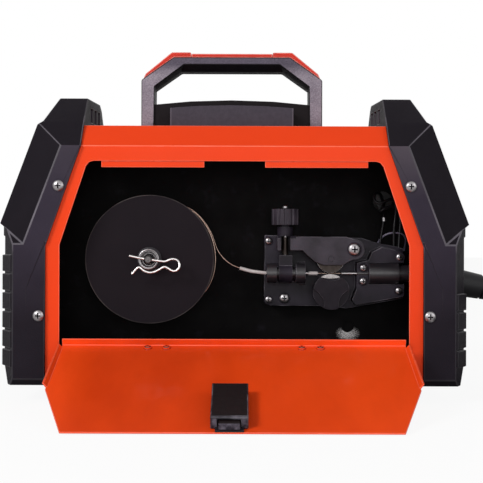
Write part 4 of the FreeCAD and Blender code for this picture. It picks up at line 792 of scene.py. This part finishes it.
loose_turn = [about_spool(*spot) for spot in (
    (0.0458, 78, 0.019), (0.047, 66, 0.0185), (0.05, 54, 0.018), (0.0511, 42, 0.0175),
    (0.0514, 28, 0.017), (0.0517, 12, 0.0165), (0.0516, -4, 0.0165), (0.0514, -18, 0.017),
    (0.0505, -32, 0.0175), (0.048, -48, 0.018), (0.0462, -62, 0.0185), (0.0457, -76, 0.019),
)]
placed(bent_wire("loose_turn", loose_turn, SEEN_WIRE, copper_wire), "spool", "copper_wire")

# --- welding wire ---
# The wire comes off the spool's upper right, springs out past the rim and runs down through the
# liner and between the rollers to the outlet. It is copper coated, like the winding.
WIRE_Z, WIRE_Y = 0.0973, 0.0325
fed_wire = [about_spool(*spot) for spot in (
    (0.0456, 84, 0.026), (0.047, 72, 0.0265), (0.0505, 58, 0.027), (0.0515, 44, 0.028), (0.0517, 30, 0.029),
    (0.052, 18, 0.03),
)] + [
    (-0.0147, 0.031, 0.1165), (-0.0095, 0.0318, 0.109), (-0.003, WIRE_Y, 0.1038),
    (0.004, WIRE_Y, 0.1012), (0.013, WIRE_Y, 0.0987), (0.025, WIRE_Y, WIRE_Z), (0.04, WIRE_Y, WIRE_Z),
    (0.0759, WIRE_Y, WIRE_Z), (0.126, WIRE_Y, WIRE_Z),
]
welding_wire = bent_wire("welding_wire_piece", fed_wire, SEEN_WIRE, copper_wire)
placed(welding_wire, "root", "copper_wire", "welding_wire")

# --- spool brake ---
# A steel bolt on the spool's axis carries a washer and a conical spring, which keep the spool from
# running on. A bent wire clip through the bolt's end holds them.
BOLT_NEAR, WASHER_NEAR, SPRING_NEAR = -0.0055, 0.0077, -0.0003
CLIP_Y, CLIP_CROSSING, CLIP_STEP = -0.0025, 0.104, 0.0016
BOLT_END = [
    (0, 0), (0.0022, 0), (0.003, 0.0008), (0.003, 0.0815), (0.006, 0.0815), (0.006, 0.0855), (0, 0.0855),
]
WASHER = [
    (0.0033, 0), (0.0092, 0), (0.0095, 0.0002), (0.0095, 0.0006), (0.0092, 0.0008), (0.0033, 0.0008),
    (0.0033, 0),
]
CLIP = [
    (-0.0805, 0.1112), (-0.0755, 0.1101), (-0.0715, 0.1092), (-0.064, 0.1082), (-0.0575, 0.1073),
    (-0.0528, 0.1066), (-0.0498, 0.1084), (-0.0462, 0.1092), (-0.0424, 0.1074), (-0.0416, 0.1034),
    (-0.0432, 0.1002), (-0.0466, 0.0992), (-0.0494, 0.1008), (-0.0532, 0.1036), (-0.0565, 0.1012),
    (-0.0612, 0.0986), (-0.066, 0.0982), (-0.0706, 0.1004), (-0.0728, 0.1036), (-0.0748, 0.1012),
    (-0.0782, 0.0974),
]
dull_steel = Finish("dull_steel", metallic=1, tint=((0.1, 0.09, 0.09), (0.3, 0.28, 0.275), 900),
                    rough=(500, 3, 0.3, 0.22))
bolt_steel = Finish("bolt_steel", metallic=1, tint=((0.01, 0.009, 0.01), (0.16, 0.15, 0.15), 700),
                    rough=(500, 3, 0.3, 0.25))
clip_steel = Finish("clip_steel", metallic=1, tint=((0.4, 0.385, 0.38), (0.78, 0.76, 0.75), 400),
                    rough=(400, 3, 0.25, 0.18))


def spring_tree():
    """A conical or straight spring, drawn up +Z."""
    tree = Shaper("steel_spring", foot=0.006, top=0.006, wire=0.0005, length=0.008, turns=5)
    foot, top, wire, length, turns = tree.sizes
    return tree.close(tree.coated(tree.coil(28, turns, foot, top, length, 8, wire), bright_steel))


def turned(name, profile, base, way, finish, count=48):
    """A solid of revolution: (radius, distance) pairs along a direction from its base."""
    way = Vector(way).normalized()
    aside = way.orthogonal().normalized()
    across = way.cross(aside)
    shape = bmesh.new()
    rings = []
    for radius, distance in profile:
        middle = Vector(base) + way * distance
        turns = [2 * math.pi * step / count for step in range(count if radius else 1)]
        rings.append([
            shape.verts.new(middle + aside * radius * math.cos(turn) + across * radius * math.sin(turn))
            for turn in turns
        ])
    for low, high in zip(rings, rings[1:]):
        for step in range(count):
            corners = [(low, step), (high, step), (high, step + 1), (low, step + 1)]
            shape.faces.new(list(dict.fromkeys(ring[place % len(ring)] for ring, place in corners)))
    if profile[0] == profile[-1]:
        bmesh.ops.remove_doubles(shape, verts=shape.verts, dist=0.000001)
    mesh = as_mesh(name, shape)
    mesh.materials.append(finish.material)
    mesh.shade_smooth()
    mesh.set_sharp_from_angle(angle=math.radians(35))
    return linked(name, mesh)


spring = spring_tree()
brake_spring = spring.make("brake_spring", [((SPOOL_X, SPRING_NEAR, SPOOL_Z), BACK)],
                           foot=0.0077, top=0.0046, wire=0.0005, length=0.0074, turns=5.5)
placed(brake_spring, "root", "zinc_steel")
bolt = turned("spindle_bolt_piece", BOLT_END, (SPOOL_X, BOLT_NEAR, SPOOL_Z), BACK, bolt_steel)
placed(bolt, "root", "zinc_steel", "spindle_bolt")
washer = turned("brake_washer", WASHER, (SPOOL_X, WASHER_NEAR, SPOOL_Z), BACK, black_plastic)
placed(washer, "root", "zinc_steel")
clip_route = [(x, CLIP_Y - CLIP_STEP * (z < CLIP_CROSSING), z) for x, z in CLIP]
clip = bent_wire("spring_clip_piece", clip_route, 0.001, clip_steel, sides=4)
placed(clip, "root", "zinc_steel", "spring_clip")
dressed("spool_spindle", black_plastic, edge=0.0005)

# --- wire feeder ---
# A glass-filled black nylon body with a pressure arm over two rollers. Screws hold the body to the wall.
PIVOT = (0.0943, 0.0223, 0.1164)
LARGE_SCREW = (0.04, 0.0425, 0.0768)
SMALL_SCREWS = [
    (0.0272, 0.0425, 0.1228), (0.0272, 0.0425, 0.0757), (0.1023, 0.0305, 0.1017), (0.102, 0.0305, 0.091),
    (0.131, 0.0305, 0.1104), (0.1305, 0.0305, 0.0835),
]
feeder_plastic = Finish("feeder_plastic", specular=0.12, rough=(300, 3, 0.2, 0.34), grain=(1500, 3, 0.0001))
feeder_wear = feeder_plastic.blotches(38, 6, 0.36, 3)
feeder_plastic.paint((0.0058, 0.0044, 0.0072), (0.0245, 0.0195, 0.03), feeder_wear)
arm_plastic = Finish("arm_plastic", specular=0.16, rough=(300, 3, 0.2, 0.32), grain=(1500, 3, 0.0001))
arm_plastic.paint((0.012, 0.0092, 0.0135), (0.044, 0.036, 0.049), arm_plastic.blotches(46, 6, 0.36, 3))
guide_plastic = Finish("guide_plastic", specular=0.45, rough=(300, 3, 0.15, 0.3),
                       tint=((0.009, 0.0075, 0.0095), (0.016, 0.0135, 0.017), 90, 3))
cap_plastic = Finish("cap_plastic", specular=0.08, rough=(300, 3, 0.25, 0.3),
                     tint=((0.0052, 0.0038, 0.006), (0.015, 0.0115, 0.0165), 220, 5))
roller_steel = Finish("roller_steel", metallic=1, rough=(500, 3, 0.25, 0.3),
                      tint=((0.014, 0.011, 0.01), (0.045, 0.037, 0.033), 400))
# Each moulding's rounded edges carry the painted edge highlight.
for moulding, body, finish, edge, steps in (
    ("feeder_body", "root", feeder_plastic, 0.0006, 2),
    ("tension_sleeve", "tension_arm", feeder_plastic, 0.0007, 2),
    ("spring_cup", "tension_cup", feeder_plastic, 0.0006, 2),
    ("pressure_arm", "pressure_lever", arm_plastic, 0.0006, 2),
    ("tension_knob", "tension_nut", arm_plastic, 0.0004, 2),
    ("wire_guides", "root", guide_plastic, 0.0007, 2),
    ("roller_cap", "drive", cap_plastic, 0.0002, 1),
):
    dressed(moulding, finish, body=body, edge=edge, steps=steps, edge_finish=edge_highlight_finish)
SMALL_SIZE = {"head": 0.0032, "rise": 0.0019, "length": 0.011}
LARGE_SIZE = {"head": 0.0042, "length": 0.011}
PIVOT_SIZE = {"head": 0.0052, "rise": 0.0024, "shank": 0.0025, "length": 0.031}
for name, screws, size, *nodes in (
    ("feeder_screws_piece", SMALL_SCREWS, SMALL_SIZE, "feeder_screws"),
    ("large_screw", [LARGE_SCREW], LARGE_SIZE), ("pivot_screw", [PIVOT], PIVOT_SIZE),
):
    screws_piece = cross_screw.make(name, [(place, OUT) for place in screws], **size)
    placed(screws_piece, "root", "zinc_steel", *nodes)
# The rollers' rounded edges are bright steel, a painted highlight on their rims.
dressed("pressure_roller", roller_steel, "zinc_steel", "pressure_wheel", edge=0.0004, edge_finish=bright_steel)
dressed("drive_roller", dull_steel, "zinc_steel", "drive", edge=0.0004, edge_finish=bright_steel)
dressed("drive_shaft", dull_steel, "zinc_steel", "drive", edge=0.0003)

# --- tension rod ---
# A bright steel rod with a domed end, in a dark sleeve, with a spring under the ribbed knob.
ROD_X, ROD_FOOT, SLEEVE_FOOT, SPRING_FOOT = 0.04, 0.1035, 0.112, 0.1342
ROD = [
    (0, 0), (0.00165, 0), (0.00165, 0.0448), (0.0021, 0.045), (0.0024, 0.0458), (0.0022, 0.047),
    (0.0014, 0.0476), (0, 0.0476),
]
ROD_SLEEVE = [(0.00172, 0), (0.0026, 0), (0.0026, 0.014), (0.00172, 0.014), (0.00172, 0)]
tension_rod = turned("tension_rod_piece", ROD, (ROD_X, WIRE_Y, ROD_FOOT), UP, bright_steel, 24)
placed(tension_rod, "tension_arm", "zinc_steel", "tension_rod")
rod_sleeve = turned("rod_sleeve", ROD_SLEEVE, (ROD_X, WIRE_Y, SLEEVE_FOOT), UP, roller_steel, 28)
placed(rod_sleeve, "tension_arm", "zinc_steel")
tension_spring = spring.make("tension_spring", [((ROD_X, WIRE_Y, SPRING_FOOT), UP)], foot=0.0041, top=0.0041,
                             wire=0.00045, length=0.007)
placed(tension_spring, "tension_cup", "zinc_steel")

# --- guides and liner ---
# Fine metal tips hold the wire close to the rollers, and a pale nozzle ends the inlet guide. A pale
# liner tube leads the wire in.
NOZZLE_X = 0.0586
NOZZLE = [(0.00112, 0), (0.0015, 0.0002), (0.0015, 0.0068), (0.00112, 0.0074), (0.00112, 0)]
pale_liner = Finish("pale_liner", specular=0.5, tint=((0.36, 0.32, 0.32), (0.58, 0.54, 0.53), 300, 3),
                    rough=(200, 2, 0.2, 0.28))
dressed("guide_tips", bright_steel, "brass", edge=0.0001)
nozzle = turned("wire_nozzle", NOZZLE, (NOZZLE_X, WIRE_Y, WIRE_Z), FORWARD, pale_liner, 24)
placed(nozzle, "root", "brass")
dressed("wire_liner", pale_liner, "pale_liner", edge=0)

# --- circuit boards and drive motor ---
# Behind the inner wall stand the inverter board, its heat sinks, coils and capacitors, and the motor.
board_green = Finish("board_green", specular=0.4, tint=((0.01, 0.085, 0.03), (0.02, 0.14, 0.055), 90, 3),
                     rough=(400, 3, 0.25, 0.32))
dark_varnish = Finish("dark_varnish", specular=0.3, tint=((0.004, 0.004, 0.005), (0.02, 0.018, 0.02), 150),
                      rough=(220, 3, 0.3, 0.3))
dressed("circuit_boards", board_green, "board_green", edge=0)
dressed("board_parts", dark_varnish, "aluminium", edge=0.0003)
dressed("feed_motor", dull_steel, "zinc_steel", edge=0.0004)

# --- cables beside the feeder ---
# Thin black wires and one grey one come through the wall beside the feeder and drop into its body.
# One of them carries a crimped ring terminal.
CABLE_RADIUS, RINGED_RADIUS, GREY_RADIUS = 0.0012, 0.0009, 0.0008
LOOPED_CABLE = [
    (0.121, 0.062, 0.156), (0.12, 0.057, 0.161), (0.115, 0.049, 0.164), (0.1118, 0.046, 0.16),
    (0.1125, 0.045, 0.1545), (0.118, 0.044, 0.153), (0.125, 0.045, 0.158), (0.131, 0.047, 0.155),
    (0.13, 0.046, 0.145), (0.1283, 0.044, 0.135), (0.1281, 0.044, 0.126), (0.1281, 0.044, 0.116),
]
SIDE_CABLE = [
    (0.123, 0.062, 0.1545), (0.12, 0.054, 0.1495), (0.1165, 0.048, 0.1462), (0.12, 0.047, 0.149),
    (0.126, 0.048, 0.152), (0.1325, 0.049, 0.15), (0.1345, 0.047, 0.14), (0.133, 0.046, 0.128),
    (0.132, 0.045, 0.115),
]
RINGED_CABLE = [
    (0.1215, 0.062, 0.158), (0.121, 0.056, 0.153), (0.1208, 0.049, 0.147), (0.1205, 0.0465, 0.1418),
    (0.1195, 0.0465, 0.134), (0.118, 0.0465, 0.127), (0.117, 0.0465, 0.118),
]
GREY_CABLE = [
    (0.115, 0.056, 0.115), (0.116, 0.053, 0.121), (0.118, 0.048, 0.1258), (0.1224, 0.045, 0.1289),
    (0.1273, 0.044, 0.1302), (0.133, 0.045, 0.1296), (0.138, 0.049, 0.1278), (0.1395, 0.053, 0.123),
    (0.138, 0.056, 0.115),
]
TERMINAL_FOOT = (0.1205, 0.0465, 0.1392)
TERMINAL = [(0.0008, 0), (0.0019, 0), (0.0019, 0.003), (0.0015, 0.0034), (0.0008, 0.0034), (0.0008, 0)]
cable_black = Finish("cable_black", specular=0.2, rough=(200, 3, 0.2, 0.26),
                     tint=((0.003, 0.0024, 0.0032), (0.0085, 0.0072, 0.0095), 200, 3))
cable_grey = Finish("cable_grey", specular=0.4, rough=(200, 3, 0.2, 0.3),
                    tint=((0.085, 0.075, 0.11), (0.19, 0.17, 0.23), 240, 3))
for name, way, radius, finish, *nodes in (
    ("feeder_cables_piece", LOOPED_CABLE, CABLE_RADIUS, cable_black, "feeder_cables"),
    ("side_cable", SIDE_CABLE, CABLE_RADIUS, cable_black),
    ("ringed_cable", RINGED_CABLE, RINGED_RADIUS, cable_black),
    ("grey_cable", GREY_CABLE, GREY_RADIUS, cable_grey),
):
    placed(bent_wire(name, way, radius, finish), "root", "cable_rubber", *nodes)
terminal = turned("ring_terminal", TERMINAL, TERMINAL_FOOT, UP, bright_steel, 20)
placed(terminal, "root", "zinc_steel")

# --- front panel and its dials ---
# A black sheet that leans back above the sockets. It carries two dials with dotted scales, a button
# between them and a red figure display behind dark glass.
PANEL_X, PANEL_FOOT = 0.156, 0.123
LEAN = math.radians(21.8)
DIALS = {"voltage": 0.0325, "current": 0.1015}
DIAL_UP, SCALE_RADIUS, SCALE_SWEEP, SCALE_STEPS = 0.026, 0.0152, 270, 10
KNOB_BASE, KNOB_END, KNOB_LENGTH, KNOB_RIBS = 0.012, 0.01, 0.013, 24
RIB_OUT, POINTER_OUT = 0.0012, (0.0137, 0.014)
panel_black = Finish("panel_black", specular=0.25, tint=((0.007, 0.006, 0.008), (0.012, 0.011, 0.014), 60),
                     rough=(500, 3, 0.2, 0.45), grain=(2200, 2, 0.00008))
white_print = Finish("white_print", tint=((0.62, 0.62, 0.62), (0.74, 0.74, 0.74), 400, 2), roughness=0.5)
dressed("front_panel", panel_black, edge=0.0005)


def on_panel(out, y, up, side=1):
    """A point on the leaning part of an end panel: outwards from it, across and up it."""
    x = PANEL_X - math.sin(LEAN) * up + math.cos(LEAN) * out
    return (side * x, y, PANEL_FOOT + math.cos(LEAN) * up + math.sin(LEAN) * out)


def panel_way(out, y, up, side=1):
    """A direction given outwards, across and up a leaning panel."""
    return Vector(on_panel(out, y, up, side)) - Vector(on_panel(0, 0, 0, side))


def panel_bar(out, across, up, side=1):
    """The two end rings of a small bar on the leaning panel, from its limits in each direction."""
    corners = ((out[0], up[0]), (out[1], up[0]), (out[1], up[1]), (out[0], up[1]))
    return [[on_panel(o, y, u, side) for o, u in corners] for y in across]


def around(middle, half):
    return (middle - half, middle + half)


def peg_tree(name, finish):
    """Round pegs, drawn up +Z from their points: scale dots, or the ribs of a grip."""
    tree = Shaper(name, radius=0.0005, length=0.0003)
    radius, length = tree.sizes
    return tree.close(tree.coated(tree.moved(tree.rod(14, radius, length), z=length * 0.5), finish))


scale_dots = peg_tree("scale_dots", white_print)
grip_ribs = peg_tree("grip_ribs", black_plastic)
dots = []
for dial, dial_y in DIALS.items():
    for mark in range(SCALE_STEPS + 1):
        turn = math.radians(SCALE_SWEEP * (mark / SCALE_STEPS - 0.5))
        across, up = SCALE_RADIUS * math.sin(turn), SCALE_RADIUS * math.cos(turn)
        dots.append((on_panel(-SLIVER, dial_y + across, DIAL_UP + up), panel_way(1, 0, 0)))
    body = dial + "_dial"
    dressed(dial + "_knob", black_plastic, body=body, edge=0.0008)
    ribs = []
    for mark in range(KNOB_RIBS):
        turn = 2 * math.pi * mark / KNOB_RIBS
        across, up = math.sin(turn), math.cos(turn)
        sunk, taper = KNOB_BASE - 0.0002, KNOB_BASE - KNOB_END
        place = on_panel(RIB_OUT, dial_y + across * sunk, DIAL_UP + up * sunk)
        ribs.append((place, panel_way(KNOB_LENGTH, -across * taper, -up * taper)))
    placed(grip_ribs.make(dial + "_knob_ribs", ribs, radius=0.0007, length=0.0118), body, "black_plastic")
    pointer = panel_bar(POINTER_OUT, around(dial_y, 0.0006), (DIAL_UP + 0.003, DIAL_UP + 0.009))
    placed(eased(dial + "_pointer", [pointer], 0.0001, 1, white_print), body, "pale_liner")
placed(scale_dots.make("dial_scales", dots), "root", "pale_liner")
dressed("mode_button", cap_plastic, body="mode_key", edge=0.0006)

# --- display ---
# Dark red glass over two rows of three figures. Each figure has seven bars: top, upper left and right,
# middle, lower left and right, foot.
FIGURES = {"0": "1110111", "1": "0010010", "2": "1011101", "5": "1101011", "8": "1111111"}
BARS = [(0, 2, "flat"), (-1, 1, "tall"), (1, 1, "tall"), (0, 0, "flat"), (-1, -1, "tall"), (1, -1, "tall"),
        (0, -2, "flat")]
FIGURE_HALF, FIGURE_STEP, FIGURE_PITCH, BAR_HALF = 0.0021, 0.0031, 0.0062, 0.00042
DISPLAY_Y, DISPLAY_UP, DISPLAY_OUT = 0.067, 0.064, (0.0007, 0.00088)
display_glass = Finish("display_glass", coat_weight=0.6, coat_roughness=0.04, specular=0.4,
                       tint=((0.01, 0.0015, 0.002), (0.016, 0.002, 0.003), 60, 2), rough=(300, 2, 0.1, 0.08))
dressed("display_window", display_glass, "display_glass", edge=0.0006)
figure_red = Finish("figure_red", base_color=(0.35, 0.01, 0.008, 1), roughness=0.4, emission_strength=0.8)
glowing = figure_red.mix((0.9, 0.03, 0.02), (1, 0.07, 0.04), figure_red.noise(900, 2))
figure_red.set("Emission Color", glowing)
figures = []
for text, start in (("185", -0.017), ("120", 0.005)):
    for place, figure in enumerate(text):
        middle = DISPLAY_Y + start + place * FIGURE_PITCH
        for (aside, above, lie), lit in zip(BARS, FIGURES[figure]):
            if lit == "1":
                across = FIGURE_HALF - 0.0003 if lie == "flat" else BAR_HALF
                tall = BAR_HALF if lie == "flat" else FIGURE_STEP - 0.0004
                y, up = middle + aside * FIGURE_HALF, DISPLAY_UP + above * FIGURE_STEP
                figures.append(panel_bar(DISPLAY_OUT, around(y, across), around(up, tall)))
placed(eased("display_figures", figures, 0.00008, 1, figure_red), "root", "display_glass")

# --- output sockets ---
# Two quarter-turn sockets: black insulating bodies with a brass sleeve pressed into each.
SOCKET_Z, NEAR_SOCKET, FAR_SOCKET = 0.05, 0.0765, 0.1105
INSULATOR = [
    (0.007, -0.024), (0.0119, -0.024), (0.0119, 0), (0.0155, 0), (0.0155, 0.004), (0.0147, 0.005),
    (0.0098, 0.005), (0.009, 0.0042), (0.0076, 0.0042), (0.007, 0.0036), (0.007, -0.024),
]
SLEEVE = [
    (0.0046, -0.02), (0.007, -0.02), (0.007, 0.0026), (0.0067, 0.003), (0.0051, 0.003), (0.0046, 0.0025),
    (0.0046, -0.02),
]
bright_brass = Finish("bright_brass", metallic=1, tint=((0.7, 0.52, 0.28), (0.78, 0.64, 0.42), 300, 3),
                      rough=(300, 3, 0.25, 0.2))
for name, profile, y, finish, slot, *nodes in (
    ("output_sockets_piece", INSULATOR, NEAR_SOCKET, black_plastic, "black_plastic", "output_sockets"),
    ("second_socket", INSULATOR, FAR_SOCKET, black_plastic, "black_plastic"),
    ("first_sleeve", SLEEVE, NEAR_SOCKET, bright_brass, "brass"),
    ("second_sleeve", SLEEVE, FAR_SOCKET, bright_brass, "brass"),
):
    placed(turned(name, profile, (PANEL_X, y, SOCKET_Z), FORWARD, finish), "root", slot, *nodes)

# --- rear panel, switch and fan ---
# The rear sheet has air slots in front of a black fan, a rocker switch with its on and off marks, the
# mains lead's gland and a barbed brass gas inlet.
SWITCH_Y, SWITCH_UP = 0.067, 0.04
ON_MARK_OUT, ON_MARK_UP = (0.00105, 0.00142), (SWITCH_UP - 0.006, SWITCH_UP - 0.0022)
OFF_RING = [(0.0013, 0), (0.0018, 0), (0.0018, 0.0004), (0.0013, 0.0004), (0.0013, 0)]
switch_red = Finish("switch_red", specular=0.4, tint=((0.36, 0.01, 0.008), (0.46, 0.016, 0.012), 120, 3),
                    rough=(300, 3, 0.15, 0.28))
dressed("rear_panel", panel_black, edge=0.0005)
dressed("cord_gland", black_plastic, edge=0.0006)
dressed("fan_frame", black_plastic, edge=0.0005)
dressed("fan_rotor", cap_plastic, body="fan", edge=0.0004)
dressed("gas_inlet", bright_brass, "brass", edge=0.0003)
dressed("power_switch", switch_red, body="rocker_switch", edge=0.0006)
on_mark = panel_bar(ON_MARK_OUT, around(SWITCH_Y, 0.0004), ON_MARK_UP, -1)
placed(eased("switch_on_mark", [on_mark], 0.0001, 1, white_print), "rocker_switch", "pale_liner")
off_mark = turned("switch_off_mark", OFF_RING, on_panel(0.003, SWITCH_Y, SWITCH_UP + 0.004, -1),
                  panel_way(0.92, 0, -0.39, -1), white_print, 24)
placed(off_mark, "rocker_switch", "pale_liner")

# --- feet ---
# Four black rubber feet, screwed to the tray from below.
dressed("rubber_feet", lead_rubber, "rubber", edge=0.0008)

# --- torch gland ---
# A ribbed nut holds the lead in the front panel, and a tapered rubber boot with soft rings keeps
# the lead from kinking there.
TORCH_Y, TORCH_Z, DROOP = 0.0365, 0.093, math.radians(10.5)
BOOT_LENGTH, BOOT_WIDE, BOOT_SLIM, BOOT_BORE, BOOT_MOUTH = 0.058, 0.0119, 0.0085, 0.00705, 0.0078
RING_START, RING_PITCH, RING_DEPTH = 0.0365, 0.0046, 0.0009
NUT = [
    (0.0122, -0.012), (0.014, 0), (0.0152, 0), (0.016, 0.0008), (0.016, 0.004), (0.015, 0.005),
    (0.0126, 0.005), (0.0122, 0.0046), (0.0122, -0.012),
]
exit_way = Vector((math.cos(DROOP), 0, -math.sin(DROOP)))
boot_foot = Vector((0.163, TORCH_Y, TORCH_Z)) - exit_way * 0.0034
boot = [(BOOT_BORE, 0), (BOOT_WIDE, 0)]
for ring in range(4):
    for along, sunk in ((0, 0), (0.0003, RING_DEPTH), (0.0016, RING_DEPTH), (0.0019, 0)):
        place = RING_START + ring * RING_PITCH + along
        boot.append((BOOT_WIDE + (BOOT_SLIM - BOOT_WIDE) * place / BOOT_LENGTH - sunk, place))
boot += [(BOOT_SLIM, BOOT_LENGTH - 0.0006), (BOOT_SLIM - 0.0006, BOOT_LENGTH), (BOOT_MOUTH, BOOT_LENGTH),
         (BOOT_MOUTH, 0.036), (BOOT_BORE, 0.034), (BOOT_BORE, 0)]
placed(turned("lead_boot", boot, boot_foot, exit_way, lead_rubber, 40), "root", "rubber")
nut = turned("torch_gland_piece", NUT, (PANEL_X, TORCH_Y, TORCH_Z), FORWARD, black_plastic)
placed(nut, "root", "rubber", "torch_gland")

# --- torch ---
# Two black moulded shells, screwed together, with a red trigger. The bent neck is black varnished
# brass, and the gas nozzle on its end is drawn copper with a contact tip inside.
GUN_TOP = 0.0314
GUN_SCREWS = [(0.364, 0.0985), (0.398, 0.1105), (0.456, 0.0985)]
grip_black = Finish("grip_black", specular=0.25, tint=((0.007, 0.0065, 0.0078), (0.014, 0.013, 0.015), 60),
                    rough=(400, 3, 0.22, 0.38), grain=(1500, 3, 0.00015))
copper = Finish("copper", metallic=1, tint=((0.66, 0.34, 0.22), (0.76, 0.44, 0.3), 90),
                rough=(300, 3, 0.25, 0.24))
dressed("torch_handle", grip_black, edge=0.002, steps=4)
dressed("torch_trigger", red_plastic, "red_plastic", "trigger", edge=0.0012, steps=3)
dressed("torch_neck", grip_black, "black_paint", edge=0.0006)
dressed("torch_nozzle", copper, "copper", edge=0.0005)
gun_screws = cross_screw.make("gun_screws", [((x, y, GUN_TOP), UP) for x, y in GUN_SCREWS],
                              head=0.0026, rise=0.0011, shank=0.0012, length=0.004)
placed(gun_screws, "root", "zinc_steel")
